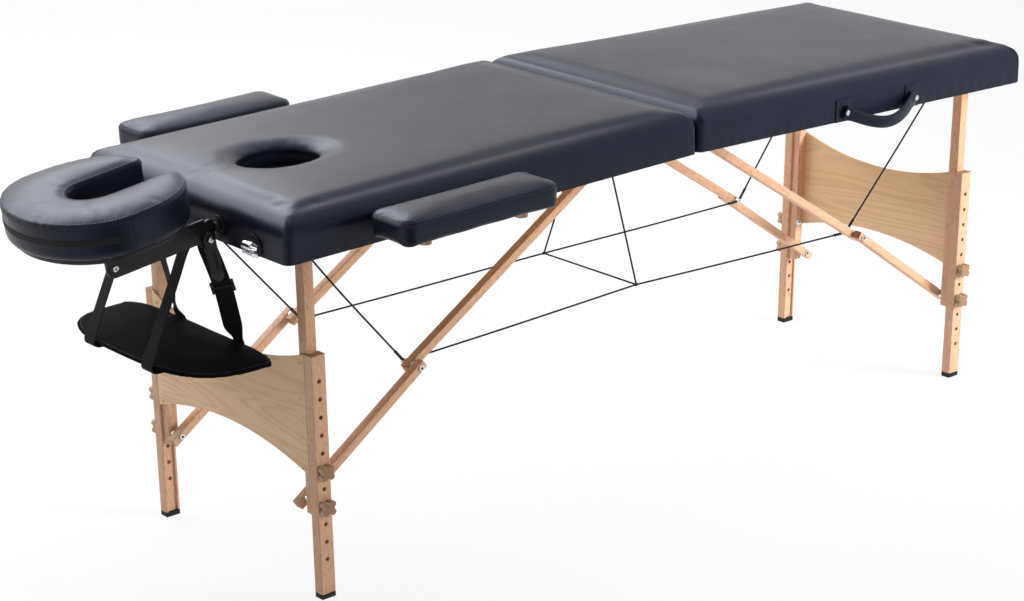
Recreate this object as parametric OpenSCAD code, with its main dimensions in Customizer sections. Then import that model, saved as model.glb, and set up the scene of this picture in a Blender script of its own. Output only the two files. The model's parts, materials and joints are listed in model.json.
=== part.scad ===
// Folding massage table: two padded halves hinged underneath at the middle,
// folding leg frames with two-piece struts and bracing cables, telescopic lower
// legs with wooden knobs, a face rest with an arm sling, and two side armrests.
//
// Frame: +X runs to the foot end, +Z up, the floor is z = 0 and the origin is
// the centre of the footprint. Each half is drawn in its own half frame: x runs
// outwards from the fold, z = 0 is the underside of its rails. -Y is the front.

/* [Table] */
// Length of one half, fold to outer end
half_len = 930; // [920:1:1000]
// Half of the table's width
half_w = 301; // [285:1:380]
// Height of the rails' underside at the outer legs, measured along the legs
leg_reach = 636; // [620:1:650]
// Slope of each half down from the fold, degrees
camber = 1.16; // [0:0.01:2]
// Gap from the fold plane to each half
fold_gap = 0.6; // [0.4:0.1:3]

/* [Frame] */
// Thickness of the rails
rail_t = 18; // [12:1:19]
// Height of the rails
rail_h = 40; // [38:1:50]
// Thickness of the plywood deck
deck_t = 4; // [3:0.5:8]
// Thickness of the cover where it wraps the rails
cover_t = 3; // [2:0.5:4]
// Glue line and seat gap between fixed pieces
seat = 0.2; // [0.1:0.05:0.3]
// Height of the padding above the deck at its edges
foam_h = 41; // [30:1:50]
// Rise of the padding's crown over its edges
crown = 4; // [1:0.5:8]
// Plan radius of the table's corners
corner_r = 18; // [8:1:40]

/* [Face hole] */
// Centre of the face hole from the table's end
hole_inset = 205; // [200:1:260]
// Half length of the face hole
hole_rx = 76; // [60:1:85]
// Half width of the face hole
hole_ry = 61; // [45:1:75]

/* [Legs] */
// Leg pivots from the table's end
leg_inset = 89; // [85:0.5:92]
// Height of all frame pivots above the rails' underside
pivot_z = 16; // [16:0.5:19]
// Inner face of the upper legs from the centre line
leg_in_y = 210; // [200:1:214]
// Width of the upper legs along the table
upper_leg_w = 20; // [18:1:24]
// Depth of the upper legs across the table
upper_leg_d = 22; // [18:1:26]
// Width of the lower legs along the table
lower_leg_w = 30; // [29:1:32]
// Depth of the lower legs across the table
lower_leg_d = 21.5; // [18:0.5:26]
// Depth of the groove that holds the upper leg
groove_d = 4; // [3:0.5:8]
// Play of the upper leg in its groove, each side
groove_play = 0.3; // [0.2:0.05:0.5]
// Top of the lower legs below the rails
lower_leg_top = 189; // [170:1:200]
// Tail of the upper legs below the strut pivot
leg_tail = 20; // [14:1:26]
// First adjusting hole below the lower leg's top
first_hole = 46; // [30:1:60]
// Pitch of the adjusting holes
hole_pitch = 32.7; // [28:0.1:33]
// Number of adjusting holes
hole_count = 11; // [9:1:11]
// Radius of the adjusting holes and bolt bores
bore_r = 4; // [3:0.1:4.5]
// Running clearance of a bolt in its bore
fit = 0.05; // [0.02:0.01:0.09]
// Height of the rubber feet
cap_h = 10; // [6:1:20]

/* [End panels] */
// Thickness of the end panels
panel_t = 5; // [3:0.5:5]
// Bottom corners of the panels below the rails
panel_low = 409.5; // [380:0.5:420]
// Dip of the panel's top edge at its middle
panel_dip = 41; // [10:1:60]
// Rise of the panel's bottom edge at its middle
panel_rise = 36.5; // [10:0.5:60]

/* [Struts] */
// Upper strut pivots from the fold
hanger_x = 73; // [60:1:90]
// Gap from the upper legs to the lower struts
strut_gap = 9; // [4:0.5:12]
// Thickness of the struts across the table
strut_t = 18; // [12:1:19]
// Height of the struts
strut_h = 16; // [12:1:20]
// Washer gap between upper and lower strut
lane_gap = 3; // [2.8:0.1:4]
// Spare length of the straightened struts
strut_slack = 0.2; // [0.05:0.01:1]

/* [Knobs] */
// Width across a knob's flats
knob_w = 26; // [22:1:30]
// Depth of a knob
knob_d = 12; // [8:1:16]
// Standoff under a knob
knob_stand = 2; // [1:0.5:8]

/* [Face rest] */
// Distance of the tilt rod from the table's end
rod_out = 27; // [26:1:40]
// Height of the tilt rod above the rails' underside
rod_z = 11.4; // [8:0.1:16]
// Height of the posts above the rails' underside
post_z = 27.6; // [22:0.1:30]
// Distance of the posts from the centre line
post_y = 111; // [95:1:130]
// Radius of the posts
post_r = 8; // [6:0.5:9]
// Slope of the face rest down from the half frame, degrees
rest_tilt = 6.84; // [0:0.01:12]
// Half width of the face cushion
rest_w = 162; // [150:1:168]
// Length of the face cushion
rest_len = 285; // [260:1:310]
// Half width of the cushion's slot
slot_w = 44; // [35:1:50]
// Closed end of the slot from the cushion's tips
slot_len = 181; // [160:1:200]
// Thickness of the face cushion at its edge
rest_t = 62; // [45:1:70]
// Rise of the face cushion's top over its seam
rest_crown = 8; // [3:0.5:12]
// Thickness of the face rest's board
board_t = 10; // [6:0.5:12]
// Height of the board's underside over the rod
board_z = 34; // [30:0.5:38]

/* [Arm sling] */
// Drop of the sling pad below its straps' rod
sling_drop = 214; // [150:1:240]
// Half length of the sling pad
sling_half = 222; // [190:1:240]
// Depth of the sling pad along the table
sling_depth = 184; // [130:1:190]
// Thickness of the sling pad
sling_t = 18; // [10:1:25]
// Width of the straps
strap_w = 26; // [18:1:30]

/* [Armrests] */
// Length of an armrest pad
arm_len = 336; // [250:1:360]
// Middle of the armrests from the table's end
arm_inset = 312; // [290:1:340]
// Width of an armrest pad
arm_w = 108; // [80:1:140]
// Gap from the table's side to an armrest pad
arm_gap = 23; // [10:1:40]
// Underside of the armrest pads above the rails' underside
arm_z = 29; // [27:0.5:32]
// Thickness of an armrest pad
arm_t = 45; // [30:1:60]

/* [Hidden] */

$fn = 48;
head = -1;
foot = 1;
front = -1;
back = 1;
cut = 1;
soft_gap = 0.3;

wood_colour = "BurlyWood";
vinyl_colour = [0.13, 0.14, 0.16];
steel_colour = "Silver";
brass_colour = [0.71, 0.60, 0.35];
black_colour = [0.06, 0.06, 0.07];
ply_colour = [0.84, 0.72, 0.54];
rubber_colour = [0.09, 0.09, 0.09];

// Hinge between the halves: leaves under the middle rails
leaf_t = 2;
knuckle_r = 3.5;
leaf_len = 24;
leaf_w = 60;
leaf_y = 180;
hinge_pin_r = 1.6;
hinge_drop = knuckle_r;

// Rails
rail_in_x = fold_gap + cover_t + seat;
rail_out_x = half_len - cover_t - seat;
rail_out_y = half_w - cover_t - seat;
rail_in_y = rail_out_y - rail_t;
deck_z = rail_h + seat;
deck_top = deck_z + deck_t;

// Places measured from the table's end
leg_x = half_len - leg_inset;
hole_x = half_len - hole_inset;
arm_x = half_len - arm_inset;

// Leg lanes, measured from the centre line
leg_out_y = leg_in_y + upper_leg_d;
lower_in_y = leg_out_y - groove_d;
lower_out_y = lower_in_y + lower_leg_d;
strut_out_y = leg_in_y - strut_gap;
strut_in_y = strut_out_y - strut_t;
over_out_y = strut_in_y - lane_gap;
over_in_y = over_out_y - strut_t;
bolt_r = bore_r - fit;
head_r = 5.6;
head_t = 2.5;
nut_r = 8;
nut_t = 2.3;

// Struts: the straightened pair is longer than the distance it spans by its slack,
// and their lengths differ by just what lets them lie flat when the leg folds in
function hole_z(k) = -lower_leg_top - first_hole - k * hole_pitch;
bolt_a = 5;
bolt_b = 7;
strut_z = hole_z(bolt_b);
strut_arm = pivot_z - strut_z;
frame_span = leg_x - hanger_x;
open_span = sqrt(frame_span * frame_span + strut_arm * strut_arm);
flat_span = frame_span - strut_arm;
lower_strut_l = (open_span + strut_slack - flat_span) / 2;
upper_strut_l = lower_strut_l + flat_span;
span_angle = atan2(strut_arm, frame_span);
joint_cos = (open_span * open_span + upper_strut_l * upper_strut_l - lower_strut_l * lower_strut_l)
    / (2 * open_span * upper_strut_l);
upper_angle = span_angle - acos(joint_cos);
joint_x = hanger_x + upper_strut_l * cos(upper_angle);
joint_z = pivot_z - upper_strut_l * sin(upper_angle);
lower_angle = atan2(joint_z - strut_z, leg_x - joint_x);
lower_tail = 20;
lower_nose = 12;
upper_tail = 12;
upper_nose = 14;

// Where the halves meet, over the floor
hinge_z = leg_x * sin(camber) + (leg_reach - hinge_drop) * cos(camber);

// Face rest
rod_x = half_len + rod_out;
rod_r = 4;
lug_t = 6;
lug_out_y = post_y - 3;
arm_plate_t = 6;
lever_t = 7;
tip_back = 8;
rest_all_tilt = rest_tilt + camber;
rest_base_z = board_z + board_t + soft_gap;
rest_reach = (rest_len - tip_back) * cos(rest_all_tilt) + (rest_base_z + rest_t / 2) * sin(rest_all_tilt);
head_reach = rod_x * cos(camber) + (rod_z + hinge_drop) * sin(camber) + rest_reach;
foot_reach = half_len * cos(camber) + (deck_top / 2 + hinge_drop) * sin(camber);
hinge_x = (head_reach - foot_reach) / 2;

// Puts children drawn in the half frame in their place
module on_half(side) {
    translate([hinge_x, 0, hinge_z])
        if (side == head) mirror([1, 0, 0]) rotate([0, camber, 0]) translate([0, 0, hinge_drop]) children();
        else rotate([0, camber, 0]) translate([0, 0, hinge_drop]) children();
}

// A point of the half frame in the table's frame
function placed(side, p) = [
    hinge_x + side * (p[0] * cos(camber) + (p[2] + hinge_drop) * sin(camber)),
    p[1],
    hinge_z - p[0] * sin(camber) + (p[2] + hinge_drop) * cos(camber)
];

module both_sides() {
    children();
    mirror([0, 1, 0]) children();
}

module on_side(side) {
    if (side == front) mirror([0, 1, 0]) children();
    else children();
}

module slab(low, high) {
    translate(low) cube(high - low);
}

// A round bar across the table
module cross_pin(x, z, y0, y1, r) {
    translate([x, y0, z]) rotate([-90, 0, 0]) cylinder(h = y1 - y0, r = r);
}

// A round bar between two points
module rod(p, q, r) {
    d = q - p;
    l = norm(d);
    translate(p) rotate([0, acos(d[2] / l), atan2(d[1], d[0])]) cylinder(h = l, r = r, $fn = 16);
}

// A rectangle with round corners, about its centre
module round_rect(w, h, r) {
    square([w - 2 * r, h], center = true);
    square([w, h - 2 * r], center = true);
    for (x = [-1, 1], y = [-1, 1])
        translate([x * (w / 2 - r), y * (h / 2 - r)]) circle(r = r, $fn = 24);
}

// A flat link with round ends between two points
neck_share = 0.94;
module link(p, q, r0, r1) {
    d = q - p;
    l = norm(d);
    a = r0 * neck_share;
    b = r1 * neck_share;
    translate(p) circle(r = r0);
    translate(q) circle(r = r1);
    translate(p) rotate(atan2(d[1], d[0])) polygon([[0, a], [l, b], [l, -b], [0, -a]]);
}

// The outline of a half with its round corners, inset all round
module half_plate(inset, z0, z1) {
    translate([(half_len + fold_gap) / 2, 0, z0]) linear_extrude(height = z1 - z0)
        round_rect(half_len - fold_gap - 2 * inset, 2 * (half_w - inset), corner_r - inset);
}

// Turns an outline drawn in x and z into a plate from y0 to y1
module plate(y0, y1) {
    translate([0, y1, 0]) rotate([90, 0, 0]) linear_extrude(height = y1 - y0) children();
}

// Rings of points for the padded forms: corners of round_n + 1 points each
round_n = 7;
ring_n = 4 * (round_n + 1);
function ring_rect(hx, hy, r, cx, cy, z) = [
    for (q = [0:3], k = [0:round_n])
        let (a = 90 * (q + k / round_n), sx = (q == 0 || q == 3) ? 1 : -1, sy = q < 2 ? 1 : -1)
            [cx + sx * (hx - r) + r * cos(a), cy + sy * (hy - r) + r * sin(a), z]
];
function ring_oval(rx, ry, cx, cy, z) = [
    for (i = [0:ring_n - 1])
        let (a = 360 * (i + 0.5) / ring_n) [cx + rx * cos(a), cy + ry * sin(a), z]
];

function band(a, b, n) = [for (j = [0:n - 1]) each [
    [a * n + j, b * n + j, b * n + (j + 1) % n],
    [a * n + j, b * n + (j + 1) % n, a * n + (j + 1) % n]
]];

// Skins a stack of rings: closed on itself, or capped at both ends
module skin(rings, closed = false) {
    n = len(rings[0]);
    m = len(rings);
    walls = [for (i = [0:m - 2]) each band(i, i + 1, n)];
    ends = closed ? band(m - 1, 0, n)
        : [[for (j = [0:n - 1]) j], [for (j = [0:n - 1]) m * n - 1 - j]];
    polyhedron(points = [for (r = rings) each r], faces = concat(walls, ends));
}

// The wooden frame of one half with the blocks that carry its pivots
block_w = 46;
hanger_w = 50;
block_top = rail_h - 2;
module half_frame(side) {
    color(wood_colour) {
        both_sides() difference() {
            intersection() {
                slab([rail_in_x, rail_in_y, 0], [rail_out_x, rail_out_y, rail_h]);
                half_plate(cover_t + seat, 0, rail_h);
            }
            if (side == head) bearer_slots(bearer_play);
        }
        slab([rail_in_x, -rail_in_y + seat, 0], [rail_in_x + rail_t, rail_in_y - seat, rail_h]);
        difference() {
            slab([rail_out_x - rail_t, -rail_in_y + seat, 0], [rail_out_x, rail_in_y - seat, rail_h]);
            if (side == head) post_bores(post_r + fit);
        }
        both_sides() difference() {
            slab([leg_x - block_w / 2, leg_out_y + 2 * seat, 0], [leg_x + block_w / 2, rail_in_y - seat, block_top]);
            cross_pin(leg_x, pivot_z, leg_out_y, rail_in_y - rail_t / 2, bore_r);
        }
        both_sides() difference() {
            slab([hanger_x - hanger_w / 2, over_out_y + 2 * seat, 0], [hanger_x + hanger_w / 2, strut_out_y, block_top]);
            cross_pin(hanger_x, pivot_z, over_out_y, strut_out_y + cut, bore_r);
        }
    }
}

module half_deck(side) {
    color(ply_colour) difference() {
        half_plate(cover_t + seat, deck_z, deck_top);
        if (side == head) face_hole(deck_z - cut, deck_top + cut);
    }
}

module face_hole(z0, z1) {
    e = hole_rx - hole_ry;
    translate([hole_x, 0, z0]) linear_extrude(height = z1 - z0) {
        for (x = [-e, e]) translate([x, 0]) circle(r = hole_ry);
        square([2 * e, 2 * hole_ry], center = true);
    }
}

// The padded top with its cover wrapped down over the rails. The table of shares
// gives the section of its edge: inset over the foam's height, height over the same
edge_shares = [[0.05, 0], [0, 0.12], [0, 0.5], [0.05, 0.67], [0.17, 0.81], [0.4, 0.92], [0.72, 0.98], [1.1, 1]];
crown_insets_share = [0.5, 0.72];
// The face hole's rim, from the crown down: growth of the hole, height over the deck, share of the crown
hole_shares = [[0.5, 1, 1], [0.18, 0.96, 0.4], [0.04, 0.86, 0], [0, 0.6, 0], [0, 0, 0]];
module half_cushion(side) {
    cx = (half_len + fold_gap) / 2;
    hx = (half_len - fold_gap) / 2;
    low = soft_gap;
    edge_z = deck_top + foam_h;
    h = edge_z - low;
    outer = [for (s = edge_shares)
        let (d = s[0] * foam_h) ring_rect(hx - d, half_w - d, max(corner_r - d, seat), cx, 0, low + h * s[1])];
    top = [for (i = [0:1])
        let (d = crown_insets_share[i] * (hole_inset - hole_rx))
            ring_rect(hx - d, half_w - d, corner_r, cx, 0, edge_z + crown * (i + 1) / 2)];
    hole = [for (s = hole_shares)
        ring_oval(hole_rx + s[0] * foam_h, hole_ry + s[0] * foam_h, hole_x, 0,
            deck_top + soft_gap + (foam_h - soft_gap) * s[1] + crown * s[2])];
    d = cover_t;
    inner = [
        ring_rect(hx - d, half_w - d, corner_r - d, cx, 0, deck_top + soft_gap),
        ring_rect(hx - d, half_w - d, corner_r - d, cx, 0, low)
    ];
    color(vinyl_colour) difference() {
        if (side == head) skin(concat(outer, top, hole, inner), true);
        else difference() {
            skin(concat(outer, top));
            half_plate(d, low - cut, deck_top + soft_gap);
        }
        if (side == head) {
            post_bores(post_r + 2 * soft_gap);
            both_sides() bearer_slots(bearer_play + soft_gap);
        }
    }
}

module post_bores(r) {
    for (y = [-post_y, post_y])
        translate([rail_out_x - rail_t - cut, y, post_z]) rotate([0, 90, 0])
            cylinder(h = half_len - rail_out_x + rail_t + 2 * cut, r = r);
}

// Bolts that the legs and the upper struts swing on, and the cable eyes
module half_frame_bolts(side) {
    color(steel_colour) {
        both_sides() {
            cross_pin(leg_x, pivot_z, leg_in_y - seat - head_t, rail_in_y - rail_t / 2 - cut, bolt_r);
            cross_pin(leg_x, pivot_z, leg_in_y - seat - head_t, leg_in_y - seat, head_r);
            cross_pin(leg_x, pivot_z, eye_y, leg_in_y - seat - head_t, bolt_r / 2);
            cross_pin(leg_x, pivot_z, eye_y - eye_t, eye_y, head_r);
            cross_pin(hanger_x, pivot_z, over_in_y - seat - head_t, strut_out_y - cut, bolt_r);
            cross_pin(hanger_x, pivot_z, over_in_y - seat - head_t, over_in_y - seat, head_r);
        }
        if (side == foot) {
            both_sides() {
                translate([anchor_x, anchor_y, -anchor_drop]) cylinder(h = anchor_drop - seat, r = cable_r);
                translate([anchor_x, anchor_y, -anchor_drop]) sphere(r = 2 * cable_r, $fn = 24);
            }
            rivets();
        }
    }
}

// Hinge leaves under the middle rails. The head leaf carries the pin
module leaf_body(segments) {
    slab([knuckle_r + seat, leaf_y, -leaf_t], [leaf_len, leaf_y + leaf_w, -seat]);
    for (s = segments) {
        slab([0, s[0], -leaf_t], [knuckle_r + 2 * seat, s[1], -seat]);
        cross_pin(0, -hinge_drop, s[0], s[1], knuckle_r - seat);
    }
}
knuckle_l = leaf_w / 4;
module hinge_leaves(side) {
    y0 = leaf_y;
    y1 = leaf_y + leaf_w;
    color(steel_colour) both_sides() {
        if (side == head) {
            leaf_body([[y0, y0 + knuckle_l], [y1 - knuckle_l, y1]]);
            cross_pin(0, -hinge_drop, y0, y1, hinge_pin_r);
        } else difference() {
            leaf_body([[y0 + knuckle_l + seat, y1 - knuckle_l - seat]]);
            cross_pin(0, -hinge_drop, y0, y1, hinge_pin_r + fit);
        }
    }
}

// Round black washers on the head end: one round each post, one behind each latch
washer_t = 2.5;
washer_r = 18;
latch_inset = 91;
latch_y = half_w - latch_inset;
latch_z = 14;
latch_washer_grow = 3.5;
module end_washers() {
    x0 = half_len + soft_gap;
    color(black_colour) {
        for (y = [-post_y, post_y]) difference() {
            translate([x0, y, post_z]) rotate([0, 90, 0]) cylinder(h = washer_t, r = washer_r);
            translate([x0 - cut, y, post_z]) rotate([0, 90, 0]) cylinder(h = washer_t + 2 * cut, r = post_r + fit);
        }
        for (y = [-latch_y, latch_y]) difference() {
            translate([x0, y, latch_z]) rotate([0, 90, 0]) cylinder(h = washer_t, r = washer_r + latch_washer_grow);
            slab([x0 - cut, y - 2 * washer_r, -2 * washer_r], [x0 + washer_t + cut, y + 2 * washer_r, soft_gap]);
        }
    }
}

// Draw latches on the head end: a base with two ears, a rolled lever between them
latch_w = 28;
ear_t = 2;
latch_pin_out = 9.5;
latch_pin_x = half_len + latch_pin_out;
latch_pin_z = 6;
latch_pin_r = 1.8;
module latch_bases() {
    x0 = half_len + soft_gap + washer_t + seat;
    color(steel_colour) for (y = [-latch_y, latch_y]) {
        slab([x0, y - latch_w / 2, -ear_t], [x0 + ear_t, y + latch_w / 2, latch_z + 2 * knuckle_r]);
        for (s = [-1, 1]) {
            e = y + s * (latch_w - ear_t) / 2;
            plate(e - ear_t / 2, e + ear_t / 2) difference() {
                link([x0 + ear_t, latch_pin_z], [latch_pin_x, latch_pin_z], latch_pin_z, latch_pin_z - seat);
                translate([x0 - latch_w, -latch_w]) square([latch_w, 2 * latch_w]);
            }
        }
        cross_pin(latch_pin_x, latch_pin_z, y - latch_w / 2, y + latch_w / 2, latch_pin_r);
    }
}
lever_roll = 9;
module latch_lever(side) {
    w = latch_w - 2 * ear_t - 4 * seat;
    px = latch_pin_x;
    rz = latch_pin_z + lever_roll + latch_pin_r;
    color(steel_colour) on_side(side) plate(latch_y - w / 2, latch_y + w / 2) difference() {
        union() {
            translate([px, latch_pin_z]) circle(r = 2 * latch_pin_r);
            intersection() {
                translate([px, rz]) difference() {
                    circle(r = lever_roll);
                    circle(r = lever_roll - ear_t);
                }
                translate([px - 2 * seat, 0]) square([2 * lever_roll, 2 * rz]);
            }
        }
        translate([px, latch_pin_z]) circle(r = latch_pin_r + fit);
    }
}

// Catches for the latch levers on the foot end
module latch_catches() {
    x0 = half_len + seat;
    color(steel_colour) for (y = [-latch_y, latch_y]) {
        slab([x0, y - latch_w / 2, 0], [x0 + ear_t, y + latch_w / 2, 2 * latch_z - ear_t]);
        slab([x0 + ear_t, y - latch_w / 4, 0], [x0 + 3 * ear_t, y + latch_w / 4, ear_t]);
        slab([x0 + 2 * ear_t, y - latch_w / 4, ear_t], [x0 + 3 * ear_t, y + latch_w / 4, 3 * ear_t]);
    }
}

// Leg frames
module upper_legs() {
    color(wood_colour) both_sides() difference() {
        union() {
            slab([leg_x - upper_leg_w / 2, leg_in_y, strut_z - leg_tail], [leg_x + upper_leg_w / 2, leg_out_y, pivot_z]);
            cross_pin(leg_x, pivot_z, leg_in_y, leg_out_y, upper_leg_w / 2);
        }
        cross_pin(leg_x, pivot_z, leg_in_y - cut, leg_out_y + cut, bore_r);
        cross_pin(leg_x, hole_z(bolt_a), leg_in_y - cut, leg_out_y + cut, bore_r);
        cross_pin(leg_x, hole_z(bolt_b), leg_in_y - cut, leg_out_y + cut, bore_r);
        cross_pin(leg_x, hole_z(bolt_a), leg_in_y - cut, leg_in_y + nut_t + 2 * seat, nut_r + seat);
    }
}

panel_y = lower_in_y - seat;
module end_panel() {
    x0 = leg_x + upper_leg_w / 2 + seat;
    top_r = (panel_y * panel_y + panel_dip * panel_dip) / (2 * panel_dip);
    low_r = (panel_y * panel_y + panel_rise * panel_rise) / (2 * panel_rise);
    color(ply_colour) translate([x0, 0, 0]) rotate([90, 0, 90]) linear_extrude(height = panel_t - seat) difference() {
        translate([-panel_y, -panel_low]) square([2 * panel_y, panel_low - lower_leg_top]);
        translate([0, -lower_leg_top - panel_dip + top_r]) circle(r = top_r, $fn = 240);
        translate([0, -panel_low + panel_rise - low_r]) circle(r = low_r, $fn = 240);
    }
}

screw_r = 3.2;
screw_t = 1;
screw_rows_share = [0.09, 0.38, 0.7, 0.955];
screw_in_share = 0.2;
module panel_screws() {
    x0 = leg_x + upper_leg_w / 2 + panel_t + seat / 2;
    y0 = leg_in_y + upper_leg_d * screw_in_share;
    color(brass_colour) both_sides() for (s = screw_rows_share)
        translate([x0, y0, -lower_leg_top - s * (panel_low - lower_leg_top)])
            rotate([0, 90, 0]) cylinder(h = screw_t, r1 = screw_r, r2 = screw_r - screw_t / 2, $fn = 24);
}

// The inner halves of the knob bolts; the lower one carries the strut
module leg_bolts() {
    color(steel_colour) both_sides() {
        cross_pin(leg_x, hole_z(bolt_a), leg_in_y + seat, leg_in_y + seat + nut_t, nut_r);
        cross_pin(leg_x, hole_z(bolt_a), leg_in_y + seat, leg_out_y - soft_gap, bolt_r);
        cross_pin(leg_x, hole_z(bolt_b), strut_in_y - seat - head_t, leg_out_y - soft_gap, bolt_r);
        cross_pin(leg_x, hole_z(bolt_b), strut_in_y - seat - head_t, strut_in_y - seat, head_r);
        cross_pin(leg_x, hole_z(bolt_b), strut_out_y + seat, leg_in_y - seat, nut_r);
    }
}

// Telescopic lower legs: a channel that grips the upper leg, with a row of holes
edge_r = 2.5;
module lower_leg(side) {
    l = leg_reach - cap_h - lower_leg_top;
    mid_y = lower_in_y + lower_leg_d / 2;
    color(wood_colour) on_side(side) difference() {
        translate([leg_x, mid_y, -lower_leg_top - l]) linear_extrude(height = l) difference() {
            round_rect(lower_leg_w, lower_leg_d, edge_r);
            translate([-upper_leg_w / 2 - groove_play, -lower_leg_d / 2 - cut])
                square([upper_leg_w + 2 * groove_play, groove_d + groove_play + cut]);
        }
        for (k = [0:hole_count - 1]) cross_pin(leg_x, hole_z(k), lower_in_y - cut, lower_out_y + cut, bore_r);
    }
}

module foot_cap(table_side, side) {
    spare = lower_leg_w * sin(camber) + cut;
    mid_y = lower_in_y + lower_leg_d / 2;
    color(rubber_colour) difference() {
        on_half(table_side) on_side(side)
            translate([leg_x, mid_y, -leg_reach - spare]) linear_extrude(height = cap_h + spare - seat)
                round_rect(lower_leg_w, lower_leg_d, edge_r);
        slab([-2 * half_len, -2 * half_w, -leg_reach], [2 * half_len, 2 * half_w, 0]);
    }
}

// A wooden knob with four lobes and the bolt end that it turns
lobe_r = 6;
module knob(side, k) {
    y0 = lower_out_y + soft_gap;
    c = knob_w / 2 - lobe_r;
    color(wood_colour) on_side(side) {
        cross_pin(leg_x, hole_z(k), leg_out_y + soft_gap, y0 + knob_stand, bolt_r);
        cross_pin(leg_x, hole_z(k), y0, y0 + knob_stand, 2 * bore_r);
        translate([leg_x, 0, hole_z(k)]) plate(y0 + knob_stand, y0 + knob_stand + knob_d) {
            for (x = [-c, c], z = [-c, c]) translate([x, z]) circle(r = lobe_r, $fn = 32);
            square([2 * c + lobe_r, 2 * c + lobe_r], center = true);
        }
    }
}

// Struts. The lower one swings on the leg, the upper one on the frame
module strut_bar(p, angle, back_l, front_l, y0, y1) {
    translate([p[0], 0, p[1]]) rotate([0, angle, 0])
        translate([-back_l, y0, -strut_h / 2]) cube([back_l + front_l, y1 - y0, strut_h]);
}

module lower_struts() {
    color(wood_colour) both_sides() difference() {
        strut_bar([leg_x, strut_z], lower_angle, lower_strut_l + lower_nose, lower_tail, strut_in_y, strut_out_y);
        cross_pin(leg_x, strut_z, strut_in_y - cut, strut_out_y + cut, bore_r);
        cross_pin(joint_x, joint_z, strut_in_y - cut, strut_out_y + cut, bore_r);
    }
}

module upper_struts() {
    color(wood_colour) both_sides() difference() {
        strut_bar([hanger_x, pivot_z], upper_angle, upper_tail, upper_strut_l + upper_nose, over_in_y, over_out_y);
        cross_pin(hanger_x, pivot_z, over_in_y - cut, over_out_y + cut, bore_r);
        cross_pin(joint_x, joint_z, over_in_y - cut, over_out_y + cut, bore_r);
    }
}

// The middle joint's bolt: its outer half rides on the lower strut, its inner
// half with the washer and the cable eye on the upper strut
eye_t = 2;
eye_in = 36;
joint_eye_in = 9;
eye_y = leg_in_y - eye_in;
joint_eye_y = over_in_y - joint_eye_in;
module joint_bolts() {
    color(steel_colour) both_sides() {
        cross_pin(joint_x, joint_z, strut_in_y + seat, strut_out_y + seat, bolt_r);
        cross_pin(joint_x, joint_z, strut_out_y + seat, strut_out_y + seat + head_t, head_r);
    }
}

module joint_eyes() {
    color(steel_colour) both_sides() {
        cross_pin(joint_x, joint_z, joint_eye_y, strut_in_y - soft_gap, bolt_r);
        cross_pin(joint_x, joint_z, over_out_y + seat, strut_in_y - soft_gap, nut_r);
        cross_pin(joint_x, joint_z, over_in_y - seat - nut_t, over_in_y - seat, head_r);
        cross_pin(joint_x, joint_z, joint_eye_y - eye_t, joint_eye_y, head_r);
    }
}

// Bracing cables, straight between their eyes
cable_r = 1.5;
ferrule_r = 3;
ferrule_l = 26;
anchor_x = 14;
anchor_y = 25;
anchor_drop = 7;
web_x = 7;
web_y = 133;
web_drop = 292;
function eye_point(side, y) = placed(side, [joint_x, y * (joint_eye_y - eye_t / 2), joint_z]);
function leg_point(side, y) = placed(side, [leg_x, y * (eye_y - eye_t / 2), pivot_z]);
function web_point(y) = [hinge_x + web_x, y * web_y, hinge_z - web_drop];
function toward(p, q, d) = p + d * (q - p) / norm(q - p);

// A cable that starts and ends at an eye, with a sleeve at each marked end
module cable(p, q, trim_p, trim_q) {
    a = toward(p, q, trim_p);
    b = toward(q, p, trim_q);
    rod(a, b, cable_r);
    if (trim_p > 0) rod(a, toward(a, b, ferrule_l), ferrule_r);
    if (trim_q > 0) rod(b, toward(b, a, ferrule_l), ferrule_r);
}

eye_trim = head_r + soft_gap;
module end_cables(side) {
    for (y = [-1, 1]) cable(eye_point(side, y), leg_point(side, y), eye_trim, eye_trim);
}

module head_cables() {
    color(black_colour) {
        end_cables(head);
        for (y = [-1, 1])
            cable(eye_point(head, y), toward(web_point(y), eye_point(head, y), ferrule_l / 4 + soft_gap), eye_trim, 0);
    }
}

module foot_cables() {
    color(black_colour) {
        end_cables(foot);
        for (y = [-1, 1]) {
            cable(eye_point(foot, y), web_point(y), eye_trim, 0);
            cable(placed(foot, [anchor_x, y * anchor_y, -anchor_drop]), web_point(y), 3 * cable_r, 0);
            rod(web_point(y) + [-ferrule_l / 4, 0, 0], web_point(y) + [ferrule_l / 4, 0, 0], ferrule_r);
        }
        rod(web_point(-1), web_point(1), cable_r);
    }
}

// Carry handle on the front of the foot half: a padded strap between two tabs
grip_x0 = 388;
grip_x1 = 588;
grip_z = 20;
grip_sag = 28;
grip_out = 26;
grip_h = 24;
grip_t = 8;
tab_w = 40;
tab_t = 2;
grip_n = 14;
grip_section_shares = [[0.5, 0.3], [0.3, 0.5], [-0.3, 0.5], [-0.5, 0.3], [-0.5, -0.3], [-0.3, -0.5], [0.3, -0.5], [0.5, -0.3]];
function grip_ring(t) = [for (s = grip_section_shares)
    [grip_x0 + t * (grip_x1 - grip_x0),
     -half_w - soft_gap - tab_t - grip_t / 2 - grip_out * sin(180 * t) + s[0] * grip_t,
     grip_z - grip_sag * sin(180 * t) + s[1] * grip_h]];
module carry_handle() {
    y1 = -half_w - soft_gap;
    color(vinyl_colour) {
        skin([for (i = [0:grip_n]) grip_ring(i / grip_n)]);
        for (x = [grip_x0, grip_x1]) slab([x - tab_w / 2, y1 - tab_t, 0], [x + tab_w / 2, y1, grip_z + grip_h]);
    }
}

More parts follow.
